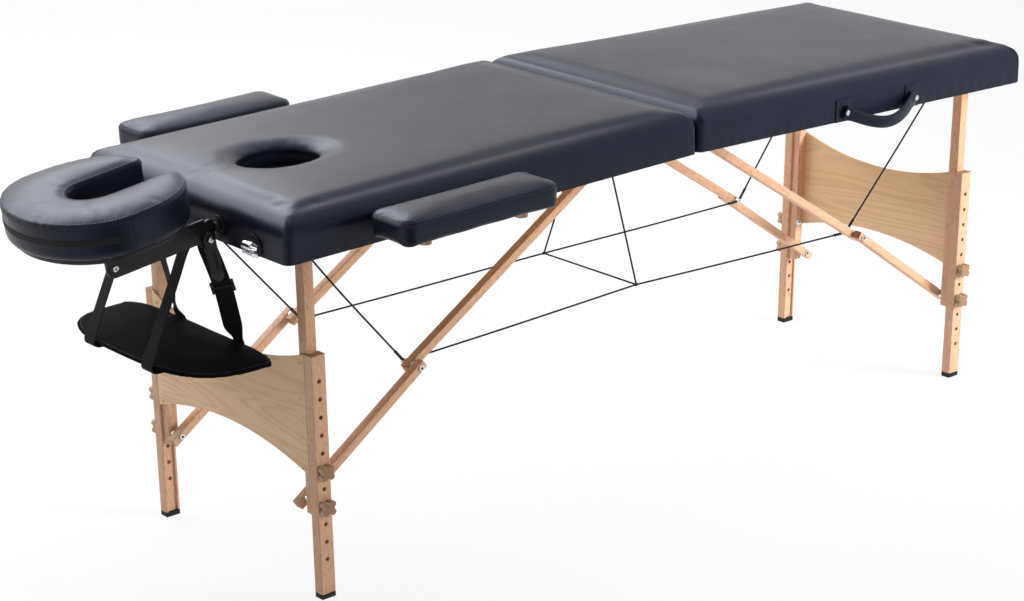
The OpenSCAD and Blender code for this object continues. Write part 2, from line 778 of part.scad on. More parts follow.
rivet_r = 5;
rivet_t = 2.5;
module rivets() {
    bend = grip_out * sin(180 * rivet_r / (grip_x1 - grip_x0));
    y1 = -half_w - soft_gap - tab_t - grip_t - seat - bend;
    for (x = [grip_x0, grip_x1]) cross_pin(x, grip_z, y1 - rivet_t, y1, rivet_r);
}

// Face rest: posts with their lugs and the tilt rod
post_in = 56;
post_out = 11;
lug_back = 10.5;
lug_r = 13;
module headrest_posts() {
    color(black_colour) {
        both_sides() {
            translate([half_len - post_in, post_y, post_z]) rotate([0, 90, 0])
                cylinder(h = post_in + post_out, r = post_r);
            plate(lug_out_y - lug_t, lug_out_y)
                link([rod_x - lug_back, post_z], [rod_x, rod_z], lug_r, lug_r);
        }
        cross_pin(rod_x, rod_z, -lug_out_y - arm_plate_t - lever_t - rod_r, lug_out_y + arm_plate_t + rod_r, rod_r);
    }
}

// Puts children drawn about the tilt rod, on the rest's slope
module on_rest() {
    translate([rod_x, 0, rod_z]) rotate([0, rest_tilt, 0]) children();
}

// Outline of the face cushion, inset by d: closed end, tips and slot
rest_end_share = 0.435;
tip_bow_share = 0.77;
tip_n = 11;
end_n = 12;
slot_n = 3;
slot_round = 14;
function u_half(d) = let (
        end_l = rest_end_share * rest_len,
        cx = rest_len - end_l - tip_back,
        w = rest_w - d,
        l = rest_len - end_l - d,
        s = slot_w + d,
        sx = slot_len - slot_w - tip_back,
        q = slot_round,
        a1 = asin(pow((s + q) / w, 1 / tip_bow_share)),
        tip_x = cx - l * pow(cos(a1), tip_bow_share)
    ) concat(
        [for (i = [0:end_n]) let (a = 90 * i / end_n) [cx + (end_l - d) * cos(a), w * sin(a)]],
        [for (i = [1:tip_n]) let (a = 90 - (90 - a1) * i / tip_n)
            [cx - l * pow(cos(a), tip_bow_share), w * pow(sin(a), tip_bow_share)]],
        [for (i = [1:slot_n]) let (a = 90 * i / slot_n) [tip_x + q - q * cos(a), s + q - q * sin(a)]],
        [for (i = [0:end_n / 2]) let (a = 90 * i / (end_n / 2)) [sx + s * sin(a), s * cos(a)]]
    );
function u_outline(d) = let (h = u_half(d), n = len(h)) concat(
    h, [for (i = [n - 2:-1:1]) [h[i][0], -h[i][1]]]);

module headrest_platform() {
    y0 = lug_out_y + seat;
    inset = 14;
    reach = 195;
    low = -5;
    end_r = 16;
    flange = 3;
    color(black_colour) on_rest() {
        translate([0, 0, board_z]) linear_extrude(height = board_t) polygon(u_outline(inset));
        both_sides() plate(y0, y0 + arm_plate_t - seat) difference() {
            union() {
                circle(r = lug_r + rod_r);
                translate([0, low]) square([reach - end_r, board_z - low]);
                translate([reach - end_r, low + end_r]) circle(r = end_r);
                translate([reach - end_r - flange, low + end_r]) square([end_r + flange, board_z - low - end_r]);
            }
            circle(r = rod_r + fit);
        }
    }
}

rest_shares = [[0.35, 0], [0, 0.12], [0.05, 0.5], [0, 0.93], [0.12, 1]];
rest_top_shares = [[0.7, 0.5], [2, 1]];
rest_round = 10;
module headrest_cushion() {
    rings = [for (s = rest_shares) [s[0] * rest_round, s[1] * rest_t]];
    top = [for (s = rest_top_shares) [s[0] * rest_round, rest_t + s[1] * rest_crown]];
    color(vinyl_colour) on_rest() translate([0, 0, rest_base_z])
        skin([for (r = concat(rings, top)) [for (p = u_outline(r[0])) [p[0], p[1], r[1]]]]);
}

// Clamp lever of the tilt rod, on the front side
lever_l = 68;
lever_hub_r = 12;
lever_end_r = 10;
lever_lean = 12;
module headrest_lever() {
    y0 = lug_out_y + arm_plate_t + 2 * seat;
    tip = [rod_x - lever_l * sin(lever_lean), rod_z - lever_l * cos(lever_lean)];
    color(black_colour) on_side(front) plate(y0, y0 + lever_t) difference() {
        link([rod_x, rod_z], tip, lever_hub_r, lever_end_r);
        translate([rod_x, rod_z]) circle(r = rod_r + fit);
    }
}

// Arm sling: a half-moon pad on four straps, hung from the face rest's mount.
// Drawn upright about the line that it swings on
sling_in_share = 0.39;
sling_bow_share = 3;
sling_flat_share = 0.27;
sling_tip_share = 0.14;
sling_mid_share = 0.42;
sling_n = 24;
module on_sling() {
    translate([rod_x, 0, rod_z]) rotate([0, -camber, 0]) children();
}
function sling_edge(u) = pow(1 - pow(abs(u), sling_bow_share), sling_flat_share);
function sling_ring(k, z) = let (m = sling_mid_share * sling_depth, x0 = -sling_in_share * sling_depth) concat(
    [for (i = [0:sling_n]) let (u = cos(180 * i / sling_n))
        [x0 + m + k * (sling_depth * (sling_tip_share + (1 - sling_tip_share) * sling_edge(u)) - m), k * sling_half * u, z]],
    [for (i = [1:sling_n / 2 - 1]) let (u = sin(-90 + 360 * i / sling_n))
        [x0 + m + k * (sling_depth * sling_tip_share * pow(u, 8) - m), k * sling_half * u, z]]
);
sling_shares = [[0.94, 0], [0.99, 0.25], [1, 0.5], [0.96, 0.78], [0.8, 0.95], [0.5, 1.05]];
module sling_pad() {
    color(vinyl_colour) on_sling() translate([0, 0, -sling_drop])
        skin([for (s = sling_shares) sling_ring(s[0], s[1] * sling_t)]);
}

// A strap as a ribbon through points in x and z
strap_t = 2;
function normal_at(p, i) = let (a = p[max(i - 1, 0)], b = p[min(i + 1, len(p) - 1)], d = b - a)
    [-d[1], d[0]] / norm(d);
function ribbon(p, t) = concat(
    [for (i = [0:len(p) - 1]) p[i] + normal_at(p, i) * t / 2],
    [for (i = [len(p) - 1:-1:0]) p[i] - normal_at(p, i) * t / 2]
);
strap_y = 88;
loop_r = rod_r + fit;
strap_knee = [27, -14];
strap_slack = [-8, -30];
buckle_at = [-34, 0, -98];
buckle_lean = 18;
buckle_t = 8;
buckle_h = 22;
module sling_straps() {
    g = soft_gap + strap_t / 2;
    out = (1 - sling_in_share) * sling_depth;
    in_strap = -sling_in_share * sling_depth;
    low = -sling_drop - g;
    top = -sling_drop + sling_t + g;
    mid = -sling_drop + sling_t / 2;
    turn = 4;
    under = 0.5;
    tuck = 40;
    color(black_colour) on_sling() both_sides() plate(strap_y - strap_w / 2, strap_y + strap_w / 2) difference() {
        union() {
            circle(r = loop_r + strap_t);
            polygon(ribbon([[loop_r, -loop_r], strap_knee, [out - turn, top + turn], [out + g, mid],
                [out - turn, low], [out - tuck, low]], strap_t));
            polygon(ribbon([[-loop_r, -loop_r], strap_slack, [in_strap + turn, top + turn], [in_strap - g, mid],
                [in_strap + under, low], [in_strap + tuck, low]], strap_t));
        }
        circle(r = loop_r);
    }
    color(black_colour) on_sling() on_side(front) translate(buckle_at) rotate([0, buckle_lean, 0])
        slab([-buckle_t / 2, strap_y - strap_w / 2 - buckle_t / 2, -buckle_h / 2], [buckle_t / 2, strap_y + strap_w / 2 + buckle_t / 2, buckle_h / 2]);
}

// Armrests: a padded board on two bearers that slide into slots in the side rail
bearer_w = 22;
bearer_t = 14;
bearer_play = 0.3;
bearer_share = 0.31;
bearer_out = 84;
function bearer_x(s) = arm_x + s * bearer_share * arm_len;
module bearer_slots(play) {
    for (s = [-1, 1])
        slab([bearer_x(s) - bearer_w / 2 - play, rail_in_y - cut, arm_z - bearer_t - play - seat],
            [bearer_x(s) + bearer_w / 2 + play, half_w + cut, arm_z - seat + play]);
}

module armrest_bearers(side) {
    y1 = half_w + arm_gap + bearer_out;
    color(wood_colour) on_side(side) for (s = [-1, 1]) {
        slab([bearer_x(s) - bearer_w / 2, rail_in_y + seat, arm_z - bearer_t - seat],
            [bearer_x(s) + bearer_w / 2, y1 - bearer_w / 2, arm_z - seat]);
        translate([bearer_x(s), y1 - bearer_w / 2, arm_z - bearer_t - seat]) cylinder(h = bearer_t, r = bearer_w / 2);
    }
}

arm_shares = [[0.16, 0], [0.04, 0.14], [0, 0.45], [0, 0.72], [0.05, 0.82], [0.22, 0.94], [0.6, 1]];
arm_round = 24;
arm_crown = 4;
arm_corner_share = 0.9;
arm_top_share = 1.4;
module armrest_pad(side) {
    cy = half_w + arm_gap + arm_w / 2;
    rings = [for (s = arm_shares)
        let (d = s[0] * arm_round)
            ring_rect(arm_len / 2 - d, arm_w / 2 - d, arm_round - arm_corner_share * d, arm_x, cy, arm_z + soft_gap + s[1] * arm_t)];
    inset = arm_top_share * arm_round;
    top = [ring_rect(arm_len / 2 - inset, arm_w / 2 - inset, arm_round / 3, arm_x, cy,
        arm_z + soft_gap + arm_t + arm_crown)];
    color(vinyl_colour) on_side(side) skin(concat(rings, top));
}

on_half(head) half_frame(head);  // head_frame
on_half(head) half_deck(head);  // head_deck
on_half(head) half_cushion(head);  // head_cushion
on_half(head) half_frame_bolts(head);  // head_frame_bolts
on_half(head) hinge_leaves(head);  // head_hinge_leaves
on_half(head) end_washers();
on_half(head) latch_bases();
head_cables();
on_half(head) latch_lever(front);  // front_latch_lever
on_half(head) latch_lever(back);  // back_latch_lever
on_half(head) upper_legs();  // head_upper_legs
on_half(head) end_panel();  // head_end_panel
on_half(head) panel_screws();  // head_panel_screws
on_half(head) leg_bolts();  // head_leg_bolts
on_half(head) lower_struts();  // head_lower_struts
on_half(head) joint_bolts();  // head_joint_bolts
on_half(head) upper_struts();  // head_upper_struts
on_half(head) joint_eyes();  // head_joint_eyes
on_half(head) lower_leg(front);  // head_front_lower_leg
foot_cap(head, front);  // head_front_foot_cap
on_half(head) knob(front, bolt_a);  // head_front_knob_a
on_half(head) knob(front, bolt_b);  // head_front_knob_b
on_half(head) lower_leg(back);  // head_back_lower_leg
foot_cap(head, back);  // head_back_foot_cap
on_half(head) knob(back, bolt_a);  // head_back_knob_a
on_half(head) knob(back, bolt_b);  // head_back_knob_b
on_half(foot) half_frame(foot);  // foot_frame
on_half(foot) half_deck(foot);  // foot_deck
on_half(foot) half_cushion(foot);  // foot_cushion
on_half(foot) half_frame_bolts(foot);  // foot_frame_bolts
on_half(foot) hinge_leaves(foot);  // foot_hinge_leaves
foot_cables();
on_half(foot) latch_catches();
on_half(foot) carry_handle();
on_half(foot) upper_legs();  // foot_upper_legs
on_half(foot) end_panel();  // foot_end_panel
on_half(foot) panel_screws();  // foot_panel_screws
on_half(foot) leg_bolts();  // foot_leg_bolts
on_half(foot) lower_struts();  // foot_lower_struts
on_half(foot) joint_bolts();  // foot_joint_bolts
on_half(foot) upper_struts();  // foot_upper_struts
on_half(foot) joint_eyes();  // foot_joint_eyes
on_half(foot) lower_leg(front);  // foot_front_lower_leg
foot_cap(foot, front);  // foot_front_foot_cap
on_half(foot) knob(front, bolt_a);  // foot_front_knob_a
on_half(foot) knob(front, bolt_b);  // foot_front_knob_b
on_half(foot) lower_leg(back);  // foot_back_lower_leg
foot_cap(foot, back);  // foot_back_foot_cap
on_half(foot) knob(back, bolt_a);  // foot_back_knob_a
on_half(foot) knob(back, bolt_b);  // foot_back_knob_b
on_half(head) headrest_posts();
on_half(head) headrest_platform();
on_half(head) headrest_cushion();
on_half(head) headrest_lever();
on_half(head) sling_pad();
on_half(head) sling_straps();
on_half(head) armrest_bearers(front);  // front_armrest_bearers
on_half(head) armrest_pad(front);  // front_armrest_pad
on_half(head) armrest_bearers(back);  // back_armrest_bearers
on_half(head) armrest_pad(back);  // back_armrest_pad
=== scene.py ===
"""Looks of a folding massage table: padded vinyl, beech frame, cables and fittings.

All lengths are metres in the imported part's frame: +X runs to the foot end, -Y is the
photographed side and +Z is up. Each half is drawn in its own half frame, in which x runs
outwards from the fold and z = 0 is the underside of its rails.
"""

from __future__ import annotations

import json
import logging
import math
from dataclasses import dataclass, field
from enum import Enum
from typing import Callable, Iterable, Sequence

import bmesh
import bpy
from mathutils import Matrix, Vector, noise
from mathutils.bvhtree import BVHTree

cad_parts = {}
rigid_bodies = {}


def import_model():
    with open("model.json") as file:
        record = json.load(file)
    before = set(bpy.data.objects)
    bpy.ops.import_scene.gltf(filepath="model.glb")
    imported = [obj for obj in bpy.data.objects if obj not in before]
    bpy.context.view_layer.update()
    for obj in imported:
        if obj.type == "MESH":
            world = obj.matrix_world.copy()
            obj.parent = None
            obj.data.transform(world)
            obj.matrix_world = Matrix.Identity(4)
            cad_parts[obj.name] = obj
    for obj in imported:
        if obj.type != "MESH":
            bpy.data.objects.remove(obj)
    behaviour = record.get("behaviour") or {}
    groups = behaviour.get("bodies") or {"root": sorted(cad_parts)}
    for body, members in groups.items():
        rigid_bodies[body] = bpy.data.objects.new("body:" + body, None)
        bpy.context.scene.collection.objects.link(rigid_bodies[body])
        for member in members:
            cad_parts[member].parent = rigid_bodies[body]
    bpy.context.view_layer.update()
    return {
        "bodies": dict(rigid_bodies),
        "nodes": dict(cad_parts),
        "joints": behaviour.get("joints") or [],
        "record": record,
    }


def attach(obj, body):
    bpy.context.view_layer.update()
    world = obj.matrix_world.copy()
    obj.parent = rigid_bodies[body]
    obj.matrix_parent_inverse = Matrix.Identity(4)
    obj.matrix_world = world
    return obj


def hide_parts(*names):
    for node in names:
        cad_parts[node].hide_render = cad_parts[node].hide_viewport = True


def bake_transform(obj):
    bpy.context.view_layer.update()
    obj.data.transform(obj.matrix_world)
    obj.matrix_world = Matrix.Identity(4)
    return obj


LOG = logging.getLogger("massage_table")
Colour = tuple[float, float, float]
Triple = tuple[float, float, float]


class Slot(Enum):
    """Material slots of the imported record."""

    VINYL = "black_vinyl"
    BEECH = "beech"
    KNOB = "knob_wood"
    DECK = "deck_ply"
    PANEL = "panel_ply"
    BRASS = "brass"
    STEEL = "bright_steel"
    PLASTIC = "black_plastic"
    RUBBER = "rubber"
    WEBBING = "webbing"
    CABLE = "cable_sheath"


class End(Enum):
    """The two halves, with the direction in which each runs from the fold."""

    HEAD = -1
    FOOT = 1


class Side(Enum):
    """Front and back of the table, with their direction in Y."""

    FRONT = -1
    BACK = 1


@dataclass(frozen=True)
class Plan:
    """Places that several sub-assemblies share, in a half's own frame."""

    half_w: float = 0.301
    arm_x: float = 0.618
    leg_x: float = 0.841
    joint: tuple[float, float] = (0.583969, -0.29265)
    rod: tuple[float, float] = (0.957, 0.0114)
    tilt: float = math.radians(6.84)


PLAN = Plan()
QUARTER = math.pi / 2
ALONG, ACROSS, UPRIGHT = (1.0, 0.0, 0.0), (0.0, 1.0, 0.0), (0.0, 0.0, 1.0)


# ---------------------------------------------------------------- shading


class Socket:
    """A shader value. Arithmetic on it adds Math nodes."""

    def __init__(self, shader: "Shader", output: bpy.types.NodeSocket) -> None:
        """Keeps the tree and the output that carries the value."""
        self.shader = shader
        self.output = output

    def math(self, operation: str, *values: "Socket | float") -> "Socket":
        """Feeds values to one Math node.

        Args:
            operation: Math node operation.
            *values: Inputs in order.

        Returns:
            The node's result.
        """
        return self.shader.add("ShaderNodeMath", {"operation": operation}, dict(enumerate(values)))

    def __add__(self, other: "Socket | float") -> "Socket":
        """Sum."""
        return self.math("ADD", self, other)

    def __radd__(self, other: float) -> "Socket":
        """Sum with a number on the left."""
        return self.math("ADD", other, self)

    def __sub__(self, other: "Socket | float") -> "Socket":
        """Difference."""
        return self.math("SUBTRACT", self, other)

    def __rsub__(self, other: float) -> "Socket":
        """Difference from a number."""
        return self.math("SUBTRACT", other, self)

    def __mul__(self, other: "Socket | float") -> "Socket":
        """Product."""
        return self.math("MULTIPLY", self, other)

    def __pow__(self, other: float) -> "Socket":
        """Power."""
        return self.math("POWER", self, other)

    def sine(self) -> "Socket":
        """Sine of the value, in radians."""
        return self.math("SINE", self)

    def clamped(self) -> "Socket":
        """The value kept between 0 and 1."""
        return self.shader.add("ShaderNodeClamp", {}, {"Value": self})

    def between(self, low: float, high: float) -> "Socket":
        """Smooth step from 0 at low to 1 at high."""
        return self.shader.add(
            "ShaderNodeMapRange", {"interpolation_type": "SMOOTHSTEP"},
            {"Value": self, "From Min": low, "From Max": high})


class Shader:
    """The node tree of one material or world."""

    def __init__(self, name: str, world: bpy.types.World | None = None) -> None:
        """Starts an empty tree.

        Args:
            name: Name of the new material.
            world: A world to shade instead of a material.
        """
        self.material = bpy.data.materials.new(name) if world is None else world
        self.material.use_nodes = True
        self.tree = self.material.node_tree
        self.tree.nodes.clear()

    def add(
        self, kind: str, settings: dict[str, object] | None = None,
        sockets: dict[int | str, object] | None = None, output: int | str = 0,
    ) -> Socket:
        """Adds one node.

        Args:
            kind: Node type.
            settings: Properties, set first; "stops" are a ramp's position and colour pairs.
            sockets: Values or links of the node's inputs.
            output: Which output to return.

        Returns:
            The chosen output.
        """
        node = self.tree.nodes.new(kind)
        for key, value in (settings or {}).items():
            if key == "stops":
                ramp = node.color_ramp
                while len(ramp.elements) < len(value):
                    ramp.elements.new(0.5)
                for element, (place, colour) in zip(ramp.elements, value):
                    element.position = place
                    element.color = (*colour, 1.0)
            else:
                setattr(node, key, value)
        for key, value in (sockets or {}).items():
            target = node.inputs[key]
            if isinstance(value, Socket):
                self.tree.links.new(value.output, target)
            elif target.type == "RGBA" and len(value) == 3:
                target.default_value = (*value, 1.0)
            else:
                target.default_value = value
        return Socket(self, node.outputs[output])

    def coordinates(self) -> Socket:
        """Object coordinates."""
        return self.add("ShaderNodeTexCoord", output="Object")

    def attribute(self, name: str, output: str = "Fac") -> Socket:
        """A mesh attribute of the piece."""
        return self.add("ShaderNodeAttribute", {"attribute_name": name}, output=output)

    def turned(self, at: Socket, rotation: Triple = (0, 0, 0), stretch: Triple = (1, 1, 1)) -> Socket:
        """Coordinates turned and stretched along the turned axes."""
        return self.add(
            "ShaderNodeMapping", {"vector_type": "TEXTURE"},
            {"Vector": at, "Rotation": rotation, "Scale": stretch})

    def noise(self, at: Socket, scale: float, detail: float = 2.0, warp: float = 0.0) -> Socket:
        """Noise between 0 and 1."""
        return self.add("ShaderNodeTexNoise", {}, {
            "Vector": at, "Scale": scale, "Detail": detail, "Roughness": 0.55, "Distortion": warp})

    def cells(self, at: Socket, scale: float) -> Socket:
        """Distance to the nearest cell centre."""
        return self.add("ShaderNodeTexVoronoi", {"feature": "F1"}, {"Vector": at, "Scale": scale}, "Distance")

    def parts(self, at: Socket) -> tuple[Socket, Socket, Socket]:
        """X, Y and Z of a vector."""
        first = self.add("ShaderNodeSeparateXYZ", {}, {"Vector": at}, "X")
        node = first.output.node
        return first, Socket(self, node.outputs["Y"]), Socket(self, node.outputs["Z"])

    def tint(self, low: Colour | Socket, high: Colour | Socket, factor: Socket | float) -> Socket:
        """Colour between low and high."""
        settings = {"data_type": "RGBA", "clamp_factor": True}
        return self.add("ShaderNodeMix", settings, {0: factor, 6: low, 7: high}, output=2)

    def finish(
        self, colour: Colour | Socket, roughness: float | Socket, metallic: float = 0.0,
        height: Socket | None = None, depth: float = 0.0001, more: dict[str, object] | None = None,
    ) -> bpy.types.Material:
        """Ends the tree in a Principled surface.

        Args:
            colour: Base colour.
            roughness: Roughness.
            metallic: Metallic share.
            height: Relief between 0 and 1, if any.
            depth: Relief depth in metres.
            more: Other sockets, constants only.

        Returns:
            The material.
        """
        sockets: dict[int | str, object] = {
            "Base Color": colour, "Roughness": roughness, "Metallic": metallic, **(more or {})}
        if height is not None:
            relief = {"Height": height, "Distance": depth, "Strength": 1.0}
            sockets["Normal"] = self.add("ShaderNodeBump", {}, relief)
        surface = self.add("ShaderNodeBsdfPrincipled", {}, sockets)
        self.add_output(surface)
        return self.material

    def add_output(self, surface: Socket, kind: str = "ShaderNodeOutputMaterial") -> None:
        """Links a surface to the tree's output."""
        node = self.tree.nodes.new(kind)
        self.tree.links.new(surface.output, node.inputs["Surface"])


@dataclass(frozen=True)
class Finish:
    """A surface finish, made once and shared."""

    name: str
    slot: Slot

    def dress(self, s: Shader) -> bpy.types.Material:
        """Writes the finish's nodes."""
        raise NotImplementedError

    def material(self) -> bpy.types.Material:
        """The finish's material."""
        return bpy.data.materials.get(self.name) or self.dress(Shader(self.name))


@dataclass(frozen=True)
class Vinyl(Finish):
    """Satin synthetic leather with a pebbled grain."""

    colour: Colour = (0.0045, 0.0058, 0.0115)
    faded: Colour = (0.0065, 0.008, 0.0145)
    roughness: float = 0.35
    ior: float = 1.34
    grain: float = 0.0012
    depth: float = 0.00005
    gloss_tint: Colour = (0.74, 0.79, 1.0)

    def dress(self, s: Shader) -> bpy.types.Material:
        """Pebbles, pores and a slow change of gloss.

        Args:
            s: The tree to write.

        Returns:
            The material.
        """
        at = s.coordinates()
        pebbles = s.cells(at, 1 / self.grain).between(0.0, 0.75)
        pores = s.noise(at, 3200, 1)
        slow = s.noise(at, 7, 3, 0.4)
        rub = s.noise(at, 45, 3)
        colour = s.tint(self.colour, self.faded, slow.between(0.35, 0.7))
        rough = self.roughness + (slow - 0.5) * 0.12 + (rub - 0.5) * 0.05 + (pores - 0.5) * 0.05
        return s.finish(
            colour, rough, height=pores * 0.25 + 1 - pebbles, depth=self.depth,
            more={"IOR": self.ior, "Specular Tint": (*self.gloss_tint, 1.0)})


@dataclass(frozen=True)
class Timber(Finish):
    """Lacquered timber with its grain along one axis of the piece."""

    turn: Triple = (0, 0, 0)
    light: Colour = (0.73, 0.435, 0.265)
    dark: Colour = (0.53, 0.27, 0.15)
    fleck: Colour = (0.35, 0.175, 0.1)
    end_grain: Colour = (0.23, 0.105, 0.055)
    fleck_share: float = 0.5
    figure: float = 34.0
    bands: float = 46.0
    roughness: float = 0.42

    def dress(self, s: Shader) -> bpy.types.Material:
        """Growth bands, fibres, ray flecks and darker end grain.

        Args:
            s: The tree to write.

        Returns:
            The material.
        """
        at = s.coordinates()
        long_at = s.turned(at, self.turn, (1, 1, 14))
        fibre_at = s.turned(at, self.turn, (1, 1, 60))
        fleck_at = s.turned(at, self.turn, (1, 1, 6))
        field_noise = s.noise(long_at, self.figure, 2, 0.35)
        bands = (field_noise * self.bands).sine() * 0.5 + 0.5
        fibres = s.noise(fibre_at, 900, 2)
        tone = s.noise(long_at, 11, 2)
        flecks = s.noise(fleck_at, 520, 0).between(0.63, 0.7) * self.fleck_share
        body = s.tint(self.light, self.dark, bands * 0.22 + fibres * 0.45 + tone * 0.55 - 0.18)
        body = s.tint(body, self.fleck, flecks)
        ends = s.attribute("end_grain")
        pores = s.noise(at, 1500, 1)
        colour = s.tint(body, s.tint(self.end_grain, self.dark, pores * 0.7), ends)
        rough = self.roughness + fibres * 0.14 + flecks * 0.1
        return s.finish(colour, rough, height=fibres * 0.7 + 0.3 - flecks * 0.4, depth=0.00006)


@dataclass(frozen=True)
class Plywood(Timber):
    """Veneered ply: its inner layers show at the edges."""

    core: Colour = (0.33, 0.19, 0.1)

    def dress(self, s: Shader) -> bpy.types.Material:
        """Veneer figure on the faces, stripes of the layers on the edges.

        Args:
            s: The tree to write.

        Returns:
            The material.
        """
        at = s.coordinates()
        long_at = s.turned(at, self.turn, (1, 1, 9))
        fibre_at = s.turned(at, self.turn, (1, 1, 55))
        field_noise = s.noise(long_at, self.figure, 1, 0.8)
        bands = ((field_noise * self.bands).sine() * 0.5 + 0.5) ** 2.2
        fibres = s.noise(fibre_at, 800, 2)
        tone = s.noise(long_at, 7, 2)
        face = s.tint(self.light, self.dark, bands * 0.42 + fibres * 0.4 + tone * 0.4 - 0.22)
        layers = s.tint(self.core, self.light, s.attribute("layers").between(0.4, 0.6))
        colour = s.tint(face, layers, s.attribute("end_grain"))
        rough = self.roughness + fibres * 0.14
        return s.finish(colour, rough, height=fibres, depth=0.00005)


@dataclass(frozen=True)
class Metal(Finish):
    """Plated metal with faint handling marks."""

    colour: Colour = (0.75, 0.755, 0.77)
    roughness: float = 0.16

    def dress(self, s: Shader) -> bpy.types.Material:
        """Smudges in the gloss and hairline scratches.

        Args:
            s: The tree to write.

        Returns:
            The material.
        """
        at = s.coordinates()
        smudge = s.noise(at, 160, 3)
        lines = s.noise(s.turned(at, (0.5, 0.3, 0.2), (1, 1, 40)), 1800, 1)
        worn = tuple(0.8 * c for c in self.colour)
        colour = s.tint(self.colour, worn, smudge.between(0.45, 0.75))
        return s.finish(colour, self.roughness + smudge * 0.12 + lines * 0.05, 1.0, lines, 0.00001)


@dataclass(frozen=True)
class Moulded(Finish):
    """Black moulded or powder-coated surface."""

    colour: Colour = (0.007, 0.007, 0.0085)
    roughness: float = 0.4
    grain: float = 1800.0
    depth: float = 0.00002

    def dress(self, s: Shader) -> bpy.types.Material:
        """Orange peel with slightly dusty patches.

        Args:
            s: The tree to write.

        Returns:
            The material.
        """
        at = s.coordinates()
        peel = s.noise(at, self.grain, 2)
        dust = s.noise(at, 30, 4).between(0.5, 0.8)
        pale = tuple(1.9 * c for c in self.colour)
        rough = self.roughness + dust * 0.12 + peel * 0.08
        return s.finish(s.tint(self.colour, pale, dust), rough, 0.0, peel, self.depth, {"IOR": 1.36})


@dataclass(frozen=True)
class Webbing(Finish):
    """Woven strap; the weave follows the piece's own flow attribute."""

    colour: Colour = (0.005, 0.005, 0.0065)
    pale: Colour = (0.013, 0.013, 0.016)
    pitch: float = 0.0016

    def dress(self, s: Shader) -> bpy.types.Material:
        """Ribs across the strap, broken into a herringbone, with painted highlight on the raised weave and
        painted shade between it.

        Args:
            s: The tree to write.

        Returns:
            The material.
        """
        along, across, _ = s.parts(s.attribute("flow", "Vector"))
        turn = math.tau / self.pitch
        ribs = (along * turn + (across * turn * 1.5).sine() * 1.1).sine() * 0.5 + 0.5
        cords = (across * turn * 1.5).sine() * 0.5 + 0.5
        fuzz = s.noise(s.coordinates(), 2600, 2)
        height = ribs * 0.55 + cords * 0.35 + fuzz * 0.2
        # Painted highlight and shade: paler where the weave stands high, darker between the ribs and cords.
        colour = s.tint(self.colour, self.pale, height.between(0.35, 1.0))
        return s.finish(colour, 0.72 + fuzz * 0.12, height=height, depth=0.00028, more={"IOR": 1.25})


@dataclass(frozen=True)
class Sheath(Finish):
    """Thin steel cable in a dark sheath, its strands showing through."""

    colour: Colour = (0.006, 0.006, 0.007)
    lay: float = 0.009

    def dress(self, s: Shader) -> bpy.types.Material:
        """Twisted strands under the sheath.

        Args:
            s: The tree to write.

        Returns:
            The material.
        """
        along, across, _ = s.parts(s.attribute("flow", "Vector"))
        strands = (along * (math.tau / self.lay) + across * 3000).sine() * 0.5 + 0.5
        grime = s.noise(s.coordinates(), 120, 3)
        colour = s.tint(self.colour, (0.02, 0.02, 0.023), strands * 0.4 + grime * 0.2)
        return s.finish(colour, 0.45 + grime * 0.15, 0.0, strands, 0.00018, {"IOR": 1.3})


@dataclass(frozen=True)
class Thread(Finish):
    """Twisted sewing thread."""

    colour: Colour = (0.011, 0.011, 0.013)

    def dress(self, s: Shader) -> bpy.types.Material:
        """Fine fibres."""
        fibres = s.noise(s.coordinates(), 5200, 2)
        pale = tuple(2.2 * c for c in self.colour)
        return s.finish(s.tint(self.colour, pale, fibres), 0.55 + fibres * 0.1, 0.0, fibres, 0.00004)


VINYL = Vinyl("Black vinyl", Slot.VINYL)
SLING_VINYL = Vinyl(
    "Black vinyl of the sling", Slot.VINYL, colour=(0.0045, 0.0045, 0.006), faded=(0.006, 0.006, 0.008),
    roughness=0.55, ior=1.05)
BEECH_UP = Timber("Beech, upright grain", Slot.BEECH)
BEECH_LONG = Timber("Beech, grain along the table", Slot.BEECH, turn=(0, QUARTER, 0))
BEECH_ACROSS = Timber("Beech, grain across the table", Slot.BEECH, turn=(-QUARTER, 0, 0))
KNOB_WOOD = Timber(
    "Milled knob wood", Slot.KNOB, light=(0.56, 0.40, 0.24), dark=(0.40, 0.26, 0.14),
    fleck=(0.3, 0.17, 0.08), figure=60, fleck_share=0.3)
DECK_PLY = Plywood(
    "Deck plywood", Slot.DECK, turn=(0, QUARTER, 0), light=(0.58, 0.42, 0.27), dark=(0.42, 0.27, 0.15),
    roughness=0.6)
PANEL_PLY = Plywood(
    "Panel veneer", Slot.PANEL, turn=(-QUARTER, 0, 0), light=(0.80, 0.54, 0.30), dark=(0.60, 0.355, 0.175),
    figure=16, bands=60, roughness=0.4)
BRASS = Metal("Brass screw", Slot.BRASS, (0.62, 0.44, 0.2), 0.24)
CHROME = Metal("Bright plated steel", Slot.STEEL)
COATED = Moulded("Black powder coat", Slot.PLASTIC, roughness=0.36)
PLASTIC = Moulded("Black plastic", Slot.PLASTIC, (0.01, 0.01, 0.011), 0.3, 2600, 0.00001)
RUBBER = Moulded("Black rubber", Slot.RUBBER, (0.014, 0.014, 0.014), 0.62, 900, 0.00005)
WEBBING = Webbing("Black webbing", Slot.WEBBING)
SHEATH = Sheath("Cable sheath", Slot.CABLE)
THREAD = Thread("Black thread", Slot.VINYL)
PALE_THREAD = Thread("Grey thread", Slot.VINYL, (0.16, 0.165, 0.18))
# Painted shade: a near-black finish for the lines beside seams and folds, the screw recesses and the bolt
# sockets, where shade falls.
PAINTED_SHADE = Moulded("Dark recess", Slot.BRASS, (0.004, 0.0035, 0.003), 0.7, 2600, 0.00001)
ZIP = Moulded("Zip tape", Slot.VINYL, (0.006, 0.006, 0.007), 0.7, 3000, 0.00004)


# ---------------------------------------------------------------- frames of the parts


